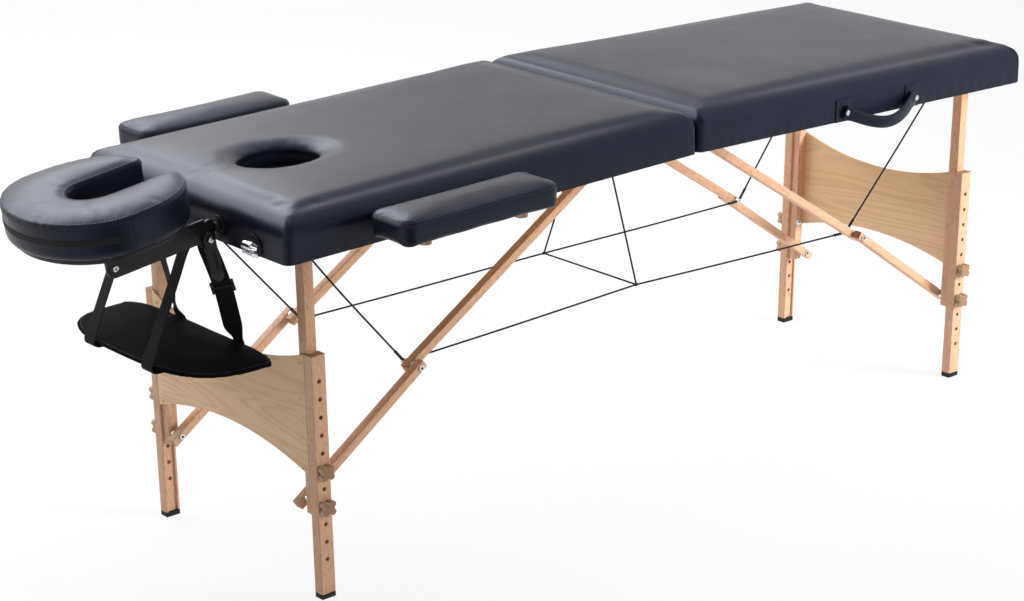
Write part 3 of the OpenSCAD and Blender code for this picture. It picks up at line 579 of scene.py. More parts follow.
def turned_at(at: Vector | Triple, angle: float, axis: str) -> Matrix:
    """A frame at a point, turned by an angle about one axis."""
    return Matrix.Translation(at) @ Matrix.Rotation(angle, 4, axis)


def aimed(place: Vector | Triple, aim: Vector | Triple, axis: str = "Z") -> Matrix:
    """A frame at one point whose axis looks at another."""
    way = Vector(aim) - Vector(place)
    return Matrix.Translation(place) @ way.to_track_quat(axis, "Y").to_matrix().to_4x4()


@dataclass(frozen=True)
class HalfFrame:
    """Places points of one half's own frame in the table's frame."""

    end: End
    hinge_x: float = 0.155781
    hinge_z: float = 0.649396
    hinge_drop: float = 0.0035
    camber: float = math.radians(1.16)

    @property
    def matrix(self) -> Matrix:
        """The half frame's transform.

        Returns:
            The transform.
        """
        flip = Matrix.Scale(self.end.value, 4, (1, 0, 0))
        lean = Matrix.Rotation(self.camber, 4, "Y")
        drop = Matrix.Translation((0, 0, self.hinge_drop))
        return Matrix.Translation((self.hinge_x, 0, self.hinge_z)) @ flip @ lean @ drop

    def at(self, x: float, y: float, z: float) -> Vector:
        """A point of the half frame."""
        return self.matrix @ Vector((x, y, z))

    def tilted(self, x: float, z: float, angle: float) -> Matrix:
        """A frame about a cross axis through x and z, turned by angle."""
        return self.matrix @ turned_at((x, 0, z), angle, "Y")


# ---------------------------------------------------------------- mesh work


def smooth_path(points: Sequence[Vector], steps: int) -> list[Vector]:
    """Points on a smooth curve through the given ones.

    Args:
        points: Points that the curve passes through.
        steps: Pieces between each two.

    Returns:
        The finer list.
    """
    found = []
    for i in range(len(points) - 1):
        a = points[max(i - 1, 0)]
        b, c = points[i], points[i + 1]
        d = points[min(i + 2, len(points) - 1)]
        for k in range(steps):
            t = k / steps
            square, cube = 2 * a - 5 * b + 4 * c - d, 3 * b - a - 3 * c + d
            found.append(b + ((c - a) * t + square * t * t + cube * t * t * t) * 0.5)
    return found + [points[-1].copy()]


def spaced(points: Sequence[Vector], gap: float, closed: bool = False) -> list[Vector]:
    """Points at even steps along a line.

    Args:
        points: The line's points.
        gap: Rough distance between the new points.
        closed: Whether the line returns to its start.

    Returns:
        The new points; a closed line doesn't repeat its first.
    """
    line = list(points) + ([points[0]] if closed else [])
    lengths = [0.0]
    for a, b in zip(line, line[1:]):
        lengths.append(lengths[-1] + (b - a).length)
    count = max(2, round(lengths[-1] / gap))
    found, i = [], 0
    for k in range(count if closed else count + 1):
        want = lengths[-1] * k / count
        while i < len(lengths) - 2 and lengths[i + 1] < want:
            i += 1
        span = max(lengths[i + 1] - lengths[i], 1e-9)
        found.append(line[i].lerp(line[i + 1], (want - lengths[i]) / span))
    return found


def along(points: Sequence[Vector], outs: Sequence[Vector] | Vector, closed: bool = False) -> list[Matrix]:
    """Frames on a line: z along it and y as near to the given outward direction as can be.

    Args:
        points: Points of the line.
        outs: Outward direction, one for all or one for each point.
        closed: Whether the line returns to its start.

    Returns:
        A frame for each point.
    """
    frames = []
    n = len(points)
    for i, p in enumerate(points):
        before = points[(i - 1) % n] if closed else points[max(i - 1, 0)]
        after = points[(i + 1) % n] if closed else points[min(i + 1, n - 1)]
        z = (after - before).normalized()
        out = outs if isinstance(outs, Vector) else outs[i]
        y = (out - z * out.dot(z)).normalized()
        x = y.cross(z)
        frames.append(Matrix.Translation(p) @ Matrix((x, y, z)).transposed().to_4x4())
    return frames


def oval(width: float, height: float, count: int, power: float = 1.0) -> list[Vector]:
    """A section's outline; a power under 1 squares its corners.

    Args:
        width: Size in the section's x.
        height: Size in the section's y.
        count: How many points.
        power: Under 1 squares the corners.

    Returns:
        The outline.
    """
    found = []
    for i in range(count):
        a = math.tau * (i + 0.5) / count
        c, s = math.cos(a), math.sin(a)
        x, y = math.copysign(abs(c) ** power, c), math.copysign(abs(s) ** power, s)
        found.append(Vector((width / 2 * x, height / 2 * y, 0)))
    return found


def rounded(hx: float, hy: float, r: float, centre: Vector, z: float, n: int = 8) -> list[Vector]:
    """A rectangle's ring with round corners, counted from +X.

    Args:
        hx: Half the length.
        hy: Half the width.
        r: Corner radius.
        centre: Middle of the ring.
        z: Height of the ring.
        n: Steps to a corner.

    Returns:
        The ring's points.
    """
    found = []
    for q in range(4):
        sx = 1 if q in (0, 3) else -1
        sy = 1 if q < 2 else -1
        for k in range(n + 1):
            a = QUARTER * (q + k / n)
            found.append(Vector((
                centre.x + sx * (hx - r) + r * math.cos(a), centre.y + sy * (hy - r) + r * math.sin(a), z)))
    return found


class Form:
    """A mesh in the making, worked with bmesh operators."""

    def __init__(self, source: bpy.types.Mesh | None = None) -> None:
        """Starts empty or from a copy of a mesh.

        Args:
            source: A mesh to copy.
        """
        self.bm = bmesh.new()
        if source is not None:
            self.bm.from_mesh(source)
        layers = self.bm.verts.layers.float_vector
        self.flow = layers.get("flow") or layers.new("flow")

    def ring(self, points: Iterable[Vector]) -> list[bmesh.types.BMEdge]:
        """Adds a closed ring of vertices and returns its edges."""
        verts = [self.bm.verts.new(p) for p in points]
        return [self.bm.edges.new((a, b)) for a, b in zip(verts, verts[1:] + verts[:1])]

    def loft(self, rings: Sequence[Sequence[Vector]], closed: bool = False) -> None:
        """Bridges a stack of rings; closes it on itself, or fills both ends.

        Args:
            rings: Rings of points, from end to end.
            closed: Whether the line returns to its start.
        """
        loops = [self.ring(r) for r in rings]
        pairs = list(zip(loops, loops[1:])) + ([(loops[-1], loops[0])] if closed else [])
        for a, b in pairs:
            bmesh.ops.bridge_loops(self.bm, edges=a + b)
        if not closed:
            for loop in (loops[0], loops[-1]):
                bmesh.ops.edgeloop_fill(self.bm, edges=loop)
        bmesh.ops.recalc_face_normals(self.bm, faces=self.bm.faces)

    def sweep(
        self, frames: Sequence[Matrix], section: Sequence[Vector], closed: bool = False, across: int = 0,
    ) -> None:
        """Extrudes a section through frames that place it.

        Args:
            frames: Place, turn and scale of the section at each step.
            section: The section's outline in its own x and y.
            closed: Whether the last step joins the first.
            across: Which of the section's axes counts as across the piece.
        """
        start = len(self.bm.faces)
        edges = self.ring(frames[0] @ p for p in section)
        first, travelled = edges, 0.0
        inverse = frames[0].inverted_safe()
        for v in {v for e in edges for v in e.verts}:
            v[self.flow] = Vector((0, (inverse @ v.co)[across], 0))
        for before, after in zip(frames, frames[1:]):
            travelled += (after.translation - before.translation).length
            made = bmesh.ops.extrude_edge_only(self.bm, edges=edges)["geom"]
            verts = {g for g in made if isinstance(g, bmesh.types.BMVert)}
            edges = [
                g for g in made if isinstance(g, bmesh.types.BMEdge) and all(v in verts for v in g.verts)]
            bmesh.ops.transform(self.bm, matrix=after @ before.inverted_safe(), verts=list(verts))
            for v in verts:
                v[self.flow] = Vector((travelled, v[self.flow].y, 0))
        if closed:
            bmesh.ops.bridge_loops(self.bm, edges=edges + first)
        else:
            for loop in (first, edges):
                bmesh.ops.edgeloop_fill(self.bm, edges=loop)
        self.bm.faces.ensure_lookup_table()
        bmesh.ops.recalc_face_normals(self.bm, faces=self.bm.faces[start:])

    def lathe(self, profile: Sequence[tuple[float, float]], matrix: Matrix, steps: int = 32) -> None:
        """Spins a profile of radius and height about z, then places it.

        Args:
            profile: Radius and height of each point.
            matrix: Where it goes.
            steps: Steps of the spin.
        """
        verts = [self.bm.verts.new((r, 0, z)) for r, z in profile]
        edges = [self.bm.edges.new(pair) for pair in zip(verts, verts[1:])]
        bmesh.ops.spin(
            self.bm, geom=verts + edges, cent=(0, 0, 0), axis=(0, 0, 1), dvec=(0, 0, 0),
            angle=math.tau, steps=steps, use_merge=True, use_duplicate=False)
        linked = self.island(verts[0])
        bmesh.ops.remove_doubles(self.bm, verts=linked, dist=1e-6)
        linked = self.island(next(v for v in linked if v.is_valid))
        bmesh.ops.transform(self.bm, matrix=matrix, verts=linked)
        faces = list({f for v in linked for f in v.link_faces})
        bmesh.ops.recalc_face_normals(self.bm, faces=faces)

    def island(self, seed: bmesh.types.BMVert) -> list[bmesh.types.BMVert]:
        """All vertices joined to one.

        Args:
            seed: Where to start.

        Returns:
            The vertices.
        """
        found, queue = {seed}, [seed]
        while queue:
            for edge in queue.pop().link_edges:
                for v in edge.verts:
                    if v not in found:
                        found.add(v)
                        queue.append(v)
        return list(found)

    def bead(self, matrix: Matrix, size: Triple, around: int = 6, rings: int = 4) -> None:
        """A small rounded bead, such as a stitch."""
        place = matrix @ Matrix.Diagonal((*size, 1.0))
        bmesh.ops.create_uvsphere(self.bm, u_segments=around, v_segments=rings, radius=1.0, matrix=place)

    def block(self, low: Vector, high: Vector, matrix: Matrix, radius: float, segments: int = 3) -> None:
        """A block with rounded edges between two corners of a frame.

        Args:
            low: Lowest corner.
            high: Highest corner.
            matrix: Where it goes.
            radius: Radius of the edges.
            segments: Steps across an edge.
        """
        scale = Matrix.Diagonal((*(high - low), 1.0))
        made = bmesh.ops.create_cube(self.bm, size=1.0, matrix=Matrix.Translation((low + high) / 2) @ scale)
        edges = list({e for v in made["verts"] for e in v.link_edges})
        done = bmesh.ops.bevel(
            self.bm, geom=edges, offset=radius, segments=segments, profile=0.5, affect="EDGES", material=-1,
            clamp_overlap=True)
        verts = self.island(done["verts"][0])
        bmesh.ops.transform(self.bm, matrix=matrix, verts=verts)

    def soften(self, width: float, segments: int = 2, angle: float = 35.0, least: float = 0.0) -> None:
        """Bevels the edges that are sharper than an angle and longer than a length.

        Args:
            width: Width of the bevel.
            segments: Steps across an edge.
            angle: Least angle between the faces.
            least: Least length of an edge.
        """
        limit = math.radians(angle)
        sharp = [
            e for e in self.bm.edges
            if len(e.link_faces) == 2 and e.calc_face_angle(0.0) > limit and e.calc_length() > least]
        bmesh.ops.bevel(
            self.bm, geom=sharp, offset=width, segments=segments, profile=0.5, affect="EDGES", material=-1,
            clamp_overlap=True)

    def place(self, matrix: Matrix) -> None:
        """Moves everything to its place and keeps the faces outwards."""
        bmesh.ops.transform(self.bm, matrix=matrix, verts=self.bm.verts)
        if matrix.determinant() < 0:
            bmesh.ops.reverse_faces(self.bm, faces=self.bm.faces)

    def mesh(self, name: str) -> bpy.types.Mesh:
        """Writes the form to a mesh.

        Args:
            name: Name to give it.

        Returns:
            The mesh.
        """
        mesh = bpy.data.meshes.new(name)
        self.bm.to_mesh(mesh)
        self.bm.free()
        return mesh


def linked(name: str, data: bpy.types.ID) -> bpy.types.Object:
    """Makes an object of a mesh, lamp or camera and puts it in the scene."""
    made = bpy.data.objects.new(name, data)
    bpy.context.scene.collection.objects.link(made)
    return made


def piece(
    source: Form | bpy.types.Mesh, name: str, finish: Finish, body: str | None, replaces: Sequence[str] = (),
    angle: float = 40.0,
) -> bpy.types.Object:
    """Makes a finished object and puts it on its body.

    Args:
        source: Form or mesh, already in the table's frame.
        name: Object name.
        finish: Its finish.
        body: Body that it rides on, or None to leave it on no body.
        replaces: CAD nodes that it stands for.
        angle: Edges sharper than this stay sharp.

    Returns:
        The object.
    """
    mesh = source.mesh(name) if isinstance(source, Form) else source
    mesh.name = name
    for polygon in mesh.polygons:
        polygon.use_smooth = True
    mesh.set_sharp_from_angle(angle=math.radians(angle))
    mesh.materials.clear()
    mesh.materials.append(finish.material())
    made = linked(name, mesh)
    if replaces:
        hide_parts(*replaces)
    if body is not None:
        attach(made, body)
    LOG.info("%s: %d faces on %s", name, len(mesh.polygons), body or "two bodies")
    return made


def evaluated(made: bpy.types.Object) -> bpy.types.Mesh:
    """The mesh of an object with its modifiers applied."""
    graph = bpy.context.evaluated_depsgraph_get()
    return bpy.data.meshes.new_from_object(made.evaluated_get(graph), depsgraph=graph)


def with_modifier(mesh: bpy.types.Mesh, kind: str, **settings: object) -> bpy.types.Mesh:
    """Applies one modifier to a mesh and returns the new mesh.

    Args:
        mesh: The mesh.
        kind: Modifier type.
        **settings: Properties to set.

    Returns:
        The new mesh.
    """
    made = linked("working", mesh)
    modifier = made.modifiers.new("step", kind)
    for key, value in settings.items():
        setattr(modifier, key, value)
    result = evaluated(made)
    bpy.data.objects.remove(made)
    return result


def carved(mesh: bpy.types.Mesh, cutter: Form) -> bpy.types.Mesh:
    """A mesh with a form cut out of it.

    Args:
        mesh: The mesh.
        cutter: What is cut away.

    Returns:
        The cut mesh.
    """
    tool = linked("cutter", cutter.mesh("cutter"))
    result = with_modifier(mesh, "BOOLEAN", operation="DIFFERENCE", solver="MANIFOLD", object=tool)
    bpy.data.objects.remove(tool)
    return result


@dataclass(frozen=True)
class Filling:
    """Blows up a pad's block with a short cloth simulation."""

    voxel: float = 0.005
    pressure: float = 4.0
    cap: float = 0.004
    steps: int = 20
    levels: int = 1

    def swell(self, form: Form, held: Callable[[Vector], float]) -> bpy.types.Mesh:
        """Remeshes a block and lets its cover swell.

        Args:
            form: The block, a little smaller than the pad.
            held: How firmly a point is held, from 0 to 1.

        Returns:
            The swollen and subdivided mesh.
        """
        fine = with_modifier(form.mesh("block"), "REMESH", mode="VOXEL", voxel_size=self.voxel)
        self._simulate(fine, held)
        return with_modifier(fine, "SUBSURF", levels=self.levels, render_levels=self.levels)

    def _simulate(self, mesh: bpy.types.Mesh, held: Callable[[Vector], float]) -> None:
        """Runs the cloth and moves the mesh by its capped result.

        Args:
            mesh: The mesh.
            held: How firmly a point is held, from 0 to 1.
        """
        made = linked("swelling", mesh)
        rest = [v.co.copy() for v in mesh.vertices]
        group = made.vertex_groups.new(name="held")
        for i, co in enumerate(rest):
            group.add([i], min(max(held(co), 0.0), 1.0), "REPLACE")
        cloth = made.modifiers.new("Cover", "CLOTH")
        cloth.settings.use_pressure = True
        cloth.settings.uniform_pressure_force = self.pressure
        cloth.settings.vertex_group_mass = "held"
        cloth.settings.effector_weights.gravity = 0
        cloth.collision_settings.use_collision = False
        cloth.point_cache.frame_start = 1
        cloth.point_cache.frame_end = self.steps
        for frame in range(1, self.steps + 1):
            bpy.context.scene.frame_set(frame)
        blown = evaluated(made)
        for vertex, co, moved in zip(mesh.vertices, rest, blown.vertices):
            step = moved.co - co
            if step.length > self.cap:
                step *= self.cap / step.length
            vertex.co = co + step
        made.modifiers.clear()
        bpy.data.objects.remove(made)
        bpy.context.scene.frame_set(1)


def surface_of(mesh: bpy.types.Mesh) -> BVHTree:
    """A search tree of a mesh's surface."""
    return BVHTree.FromPolygons([v.co for v in mesh.vertices], [tuple(p.vertices) for p in mesh.polygons])


def laid_on(tree: BVHTree, points: Iterable[Vector], lift: float = 0.0) -> tuple[list[Vector], list[Vector]]:
    """Puts points on a surface and returns them with the surface's normals there.

    Args:
        tree: The surface to lie on.
        points: Points of the line.
        lift: Distance over the surface.

    Returns:
        The places and the normals.
    """
    places, outs = [], []
    for p in points:
        co, normal, _, _ = tree.find_nearest(p)
        places.append(co + normal * lift)
        outs.append(normal)
    return places, outs


@dataclass(frozen=True)
class Seam:
    """A sewn seam: a low welt with a row of stitches beside it."""

    width: float = 0.0022
    height: float = 0.0012
    pitch: float = 0.0055
    stitch: float = 0.0036
    thread: float = 0.0007

    def welt(self, form: Form, tree: BVHTree, line: Sequence[Vector], closed: bool) -> None:
        """Adds the welt along a line on a surface."""
        places, outs = laid_on(tree, spaced(line, 0.004, closed), 0.0)
        form.sweep(along(places, outs, closed), oval(self.width, self.height, 8), closed)

    def stitches(self, form: Form, tree: BVHTree, line: Sequence[Vector], closed: bool) -> None:
        """Adds the stitches along a line on a surface."""
        places, outs = laid_on(tree, spaced(line, self.pitch, closed), self.thread * 0.25)
        for frame in along(places, outs, closed):
            form.bead(frame, (self.thread, self.thread * 0.8, self.stitch / 2))


# Painted shade: the dark line that lies beside a welt, where the seam's hollow would be shaded.
GROOVE_SHADE = Seam(width=0.0013, height=0.0007)


def displaced(mesh: bpy.types.Mesh, move: Callable[[Vector, Vector], float]) -> None:
    """Moves each vertex along its normal by what a function of place and normal gives.

    Args:
        mesh: The mesh.
        move: Gives the step from a place and its normal.
    """
    steps = [(v.normal.copy(), move(v.co, v.normal)) for v in mesh.vertices]
    for vertex, (normal, step) in zip(mesh.vertices, steps):
        vertex.co += normal * step
    mesh.update()


def ease(value: float, low: float, high: float) -> float:
    """Smooth step from 0 at low to 1 at high."""
    t = min(max((value - low) / (high - low), 0.0), 1.0)
    return t * t * (3 - 2 * t)


def settle(place: Matrix, body: str, rows: Iterable[tuple]) -> None:
    """Places forms and finishes each as a piece of one body.

    Args:
        place: The forms' frame.
        body: Body that they ride on.
        rows: Form, name and finish of each, then the CAD nodes that it replaces, if any.
    """
    for form, name, finish, *old in rows:
        form.place(place)
        piece(form, name, finish, body, old)


def upholster(
    mesh: bpy.types.Mesh, place: Matrix, name: str, finish: Finish, body: str, node: str,
    angle: float = 60.0,
) -> None:
    """Finishes a swollen mesh as a padded piece.

    Args:
        mesh: The mesh in its own frame.
        place: That frame.
        name: Object name.
        finish: Its finish.
        body: Body that it rides on.
        node: CAD node that it replaces.
        angle: Edges sharper than this stay sharp.
    """
    form = Form(mesh)
    form.place(place)
    piece(form, name, finish, body, (node,), angle)


# ---------------------------------------------------------------- carried-over nodes


@dataclass(frozen=True)
class Milled:
    """A CAD node redrawn with softened edges and marked end grain."""

    node: str
    body: str
    finish: Finish
    edge: float = 0.0012
    segments: int = 2
    least: float = 0.006
    grain: Triple | None = None
    layers: Triple | None = None
    layer: float = 0.0016

    def build(self, nodes: dict[str, bpy.types.Object]) -> bpy.types.Object:
        """Copies the node, merges it, softens it and puts it on its body.

        Args:
            nodes: The CAD nodes by name.

        Returns:
            The object.
        """
        form = Form(nodes[self.node].data)
        bmesh.ops.remove_doubles(form.bm, verts=form.bm.verts, dist=1e-6)
        bmesh.ops.dissolve_limit(
            form.bm, angle_limit=math.radians(0.5), verts=form.bm.verts, edges=form.bm.edges,
            use_dissolve_boundaries=False)
        form.soften(self.edge, self.segments, least=self.least)
        mesh = form.mesh(self.node)
        if self.grain is not None:
            axis = Vector(self.grain).normalized()
            mark_faces(mesh, "end_grain", lambda p: ease(abs(p.normal.dot(axis)), 0.75, 0.9))
        if self.layers is not None:
            normal = Vector(self.layers).normalized()
            start = min(v.co.dot(normal) for v in mesh.vertices)
            mark_points(
                mesh, "layers",
                lambda co: 0.5 + 0.5 * math.cos(math.pi * (co.dot(normal) - start) / self.layer))
            mark_faces(mesh, "end_grain", lambda p: 1 - ease(abs(p.normal.dot(normal)), 0.6, 0.8))
        return piece(mesh, f"{self.node}_finished", self.finish, self.body, (self.node,))


def mark_faces(mesh: bpy.types.Mesh, name: str, value: Callable[[bpy.types.MeshPolygon], float]) -> None:
    """Writes a value on each face."""
    layer = mesh.attributes.new(name, "FLOAT", "FACE")
    layer.data.foreach_set("value", [value(p) for p in mesh.polygons])


def mark_points(mesh: bpy.types.Mesh, name: str, value: Callable[[Vector], float]) -> None:
    """Writes a value on each vertex."""
    layer = mesh.attributes.new(name, "FLOAT", "POINT")
    layer.data.foreach_set("value", [value(v.co) for v in mesh.vertices])


# ---------------------------------------------------------------- padded pieces


@dataclass(frozen=True)
class TableTop:
    """Padded top of one half, its cover wrapped down over the rails."""

    end: End
    half_len: float = 0.930
    half_w: float = PLAN.half_w
    fold_gap: float = 0.0006
    low: float = 0.0003
    deck_top: float = 0.0442
    foam_h: float = 0.041
    crown: float = 0.005
    crown_from: float = 0.012
    crown_over: float = 0.13
    pull_pitch: float = 0.031
    ripples: int = 19
    corner_r: float = 0.018
    cover: float = 0.003
    hole_x: float = 0.725
    hole_rx: float = 0.076
    hole_ry: float = 0.061
    arm_x: float = PLAN.arm_x
    bearer_gap: float = 0.10416
    bearer: tuple[float, float] = (0.0236, 0.0156)
    bearer_z: float = 0.0218
    post: tuple[float, float, float] = (0.111, 0.0276, 0.0086)
    filling: Filling = Filling(voxel=0.0125, cap=0.004, levels=2)
    roll: tuple[float, float, float, float] = (0.05, 0.0425, 0.0412, 2.0)
    fold_roll: float = 0.014
    edge: tuple[tuple[float, float], ...] = (
        (0.0, 0.12), (0.0, 0.5), (0.05, 0.67), (0.17, 0.81), (0.4, 0.92), (0.72, 0.98), (1.1, 1.0))
    rim: tuple[tuple[float, float], ...] = ((0.55, 1.0), (0.24, 0.95), (0.07, 0.82), (0.0, 0.6), (0.0, 0.0))

    @property
    def centre(self) -> Vector:
        """Middle of the half."""
        return Vector(((self.half_len + self.fold_gap) / 2, 0, 0))

    def outline(self, inset: float, z: float, radius: float | None = None) -> list[Vector]:
        """The half's outline inset all round."""
        hx = (self.half_len - self.fold_gap) / 2 - inset
        return rounded(hx, self.half_w - inset, self.corner_r if radius is None else radius, self.centre, z)

    def oval_ring(self, grow: float, z: float) -> list[Vector]:
        """A ring of the face hole, grown outwards.

        Args:
            grow: Distance outwards.
            z: Height of the ring.

        Returns:
            The ring's points.
        """
        count = len(self.outline(0, 0))
        turns = [math.tau * (i + 0.5) / count for i in range(count)]
        rx, ry = self.hole_rx + grow, self.hole_ry + grow
        return [Vector((self.hole_x + rx * math.cos(a), ry * math.sin(a), z)) for a in turns]

    def block(self) -> Form:
        """The solid block that swells into the top.

        Returns:
            The form.
        """
        form = Form()
        edge_z = self.deck_top + self.foam_h
        under = -0.012
        rings = [self.outline(0.0, under)]
        for inset, share in self.edge:
            d = inset * self.foam_h
            z = self.low + (edge_z - self.low) * share - self.filling.cap * ease(share, 0.5, 0.85)
            rings.append(self.outline(d + 0.0015 * ease(share, 0.5, 0.7), z, max(self.corner_r - d, 0.0006)))
        for inset, radius in ((0.075, 0.03), (0.11, 0.05)):
            rings.append(self.outline(inset, edge_z - self.filling.cap, radius))
        form.loft(rings)
        return form

    def plug(self) -> Form:
        """The flared plug that opens the face hole.

        Returns:
            The form.
        """
        form = Form()
        rings = [self.oval_ring(0.0, -0.03)]
        for grow, height in reversed(self.rim):
            z = self.deck_top + (self.foam_h - self.filling.cap * height) * height
            rings.append(self.oval_ring(grow * self.foam_h, z))
        form.loft([*rings, self.oval_ring(0.9 * self.foam_h, 0.11)])
        return form

    def bulge(self, co: Vector) -> float:
        """Height of the crown at a point of the top.

        Args:
            co: A point of the half's frame.

        Returns:
            The height in metres.
        """
        dx = min(co.x, self.half_len - co.x)
        dy = self.half_w - abs(co.y)
        near = [
            math.sin(QUARTER * min(max(d - self.crown_from, 0.0) / self.crown_over, 1.0)) for d in (dx, dy)]
        return self.crown * near[0] * near[1]

    def held(self, co: Vector) -> float:
        """The cover is held round the rails, at the fold and down in the face hole.

        Args:
            co: A point of the half's frame.

        Returns:
            From 0, free, to 1, held.
        """
        firm = max(1 - ease(co.z, 0.046, 0.07), 1 - ease(co.x, 0.012, 0.04))
        if self.end is End.HEAD:
            r = math.hypot((co.x - self.hole_x) / self.hole_rx, co.y / self.hole_ry)
            firm = max(firm, (1 - ease(r, 1.02, 1.25)) * (1 - ease(co.z, 0.062, 0.078)))
        return firm

    def creases(self, co: Vector, normal: Vector) -> float:
        """Puckers round the face hole, pulls at the corners and slow unevenness.

        Args:
            co: A point of the half's frame.
            normal: The surface's direction there.

        Returns:
            The step in metres.
        """
        flat = ease(co.z, 0.05, 0.08)
        step = 0.0005 * noise.noise(co * 7.0) * flat
        step += self.bulge(co) * ease(normal.z, 0.2, 0.8) * ease(co.z, 0.05, 0.07)
        side = 1 - ease(abs(normal.z), 0.3, 0.8)
        pull = 0.5 + 0.5 * math.cos(co.x * math.tau / self.pull_pitch + 3 * noise.noise(co * 4.0))
        step += 0.0003 * pull * side * (1 - ease(co.z, 0.01, 0.04))
        if self.end is End.HEAD:
            r = math.hypot((co.x - self.hole_x) / self.hole_rx, co.y / self.hole_ry)
            a = math.atan2(co.y / self.hole_ry, (co.x - self.hole_x) / self.hole_rx)
            ripple = math.sin(a * self.ripples + 2.6 * noise.noise(co * 16.0))
            ripple *= max(0.0, noise.noise(co * 21.0))
            step += 0.0009 * ripple * (1 - ease(r, 1.1, 1.5)) * flat
        return step

    def fitted(self, mesh: bpy.types.Mesh) -> None:
        """Draws the sides and the roll of the edge onto a curve that clears the rails' corners.

        Args:
            mesh: The mesh.
        """
        hx, hy, r = (self.half_len - self.fold_gap) / 2, self.half_w, self.corner_r - 0.003
        across, start, height, power = self.roll
        for v in mesh.vertices:
            away = v.co - self.centre
            qx, qy = abs(away.x) - (hx - r), abs(away.y) - (hy - r)
            out = Vector((max(qx, 0.0), max(qy, 0.0), 0))
            d = out.length - r if out.length > 0 else max(qx, qy) - r
            if out.length < 1e-9:
                out = Vector((1.0, 0.0, 0)) if qx > qy else Vector((0.0, 1.0, 0))
            out.normalize()
            wide = across - (self.fold_roll * out.x ** 2 if away.x < 0 else 0.0)
            if d < -wide or v.co.z < -0.006:
                continue
            x, z = (wide + d) / wide, max(v.co.z - start, 0.0) / height
            reach = (x ** power + z ** power) ** (1 / power)
            step = ease(x, 0.1, 0.7) * (1 / max(reach, 0.3) - 1)
            v.co.z += height * z * step
            v.co.x += math.copysign(out.x, away.x) * wide * x * step
            v.co.y += math.copysign(out.y, away.y) * wide * x * step
        mesh.update()

    def lining(self) -> Form:
        """Vinyl drawn through the face hole and round the deck's edge.

        Returns:
            The form.
        """
        form = Form()
        form.loft([
            self.oval_ring(-0.0004, self.deck_top + 0.004), self.oval_ring(-0.0004, 0.035),
            self.oval_ring(-0.0016, 0.035), self.oval_ring(-0.0016, self.deck_top + 0.004)], closed=True)
        return form

    def pocket(self) -> Form:
        """What is cut from below so that the cover only wraps the rails.

        Returns:
            The form.
        """
        form = Form()
        inner = max(self.corner_r - self.cover, 0.001)
        form.loft([
            self.outline(-0.1, -0.05), self.outline(-0.1, self.low),
            self.outline(self.cover, self.low, inner), self.outline(self.cover, self.deck_top + 0.0003, inner)])
        return form

    def openings(self) -> Form:
        """Slots for the armrest bearers and bores for the face rest's posts.

        Returns:
            The form.
        """
        form = Form()
        w, h = self.bearer[0] / 2, self.bearer[1] / 2
        for x in (self.arm_x - self.bearer_gap, self.arm_x + self.bearer_gap):
            for side in Side:
                y = side.value * self.half_w
                low = Vector((x - w, y - 0.012, self.bearer_z - h))
                form.block(low, Vector((x + w, y + 0.012, self.bearer_z + h)), Matrix(), 0.0015)
        y, z, r = self.post
        for side in Side:
            turn = turned_at((self.half_len - 0.012, side.value * y, z), QUARTER, "Y")
            form.lathe(((0, 0), (r, 0), (r, 0.024), (0, 0.024)), turn)
        return form

    def pleats(self, tree: BVHTree) -> tuple[Form, Form]:
        """Folds of the cover sewn down at the outer corners, and dark lines of painted shade under them.

        Args:
            tree: The surface to lie on.

        Returns:
            The folds and the dark lines of painted shade.
        """
        folds, lines = Form(), Form()
        for side in Side:
            x = self.half_len - 0.5 * self.corner_r
            line = [
                Vector((x + 0.002 * t * t, side.value * (self.half_w + 0.003), 0.074 - 0.072 * t))
                for t in (0, 0.3, 0.6, 1)]
            line = [Vector((x - 0.012, side.value * (self.half_w - 0.012), 0.084)), *line]
            places, outs = laid_on(tree, spaced(smooth_path(line, 4), 0.004))
            frames = [
                f @ Matrix.Diagonal((1, 0.25 + 0.75 * math.sin(math.pi * min(0.5, (i + 0.5) / 8)), 1, 1))
                for i, f in enumerate(along(places, outs))]
            folds.sweep(frames, oval(0.0044, 0.002, 10))
            # Painted shade: dark lines along both edges of each fold, where its shadow would fall.
            for shift in (-0.0023, 0.0023):
                lines.sweep([f @ Matrix.Translation((shift, 0, 0)) for f in frames], oval(0.0012, 0.0009, 6))
        return folds, lines

    def build(self) -> None:
        """Swells the top, cuts its pocket and sews its pleats."""
        name = self.end.name.lower()
        place = HalfFrame(self.end).matrix
        block = self.block()
        if self.end is End.HEAD:
            block = Form(carved(block.mesh("block"), self.plug()))
        mesh = self.filling.swell(block, self.held)
        self.fitted(mesh)
        displaced(mesh, self.creases)
        mesh = carved(mesh, self.pocket())
        if self.end is End.HEAD:
            mesh = carved(mesh, self.openings())
        body = f"{name}_half"
        upholster(mesh, place, f"{name}_top", VINYL, body, f"{name}_cushion", 55)
        folds, lines = self.pleats(surface_of(mesh))
        settle(place, body, ((folds, f"{name}_pleats", VINYL), (lines, f"{name}_pleat_lines", PAINTED_SHADE)))
        if self.end is End.HEAD:
            settle(place, body, ((self.lining(), "face_hole_lining", VINYL),))


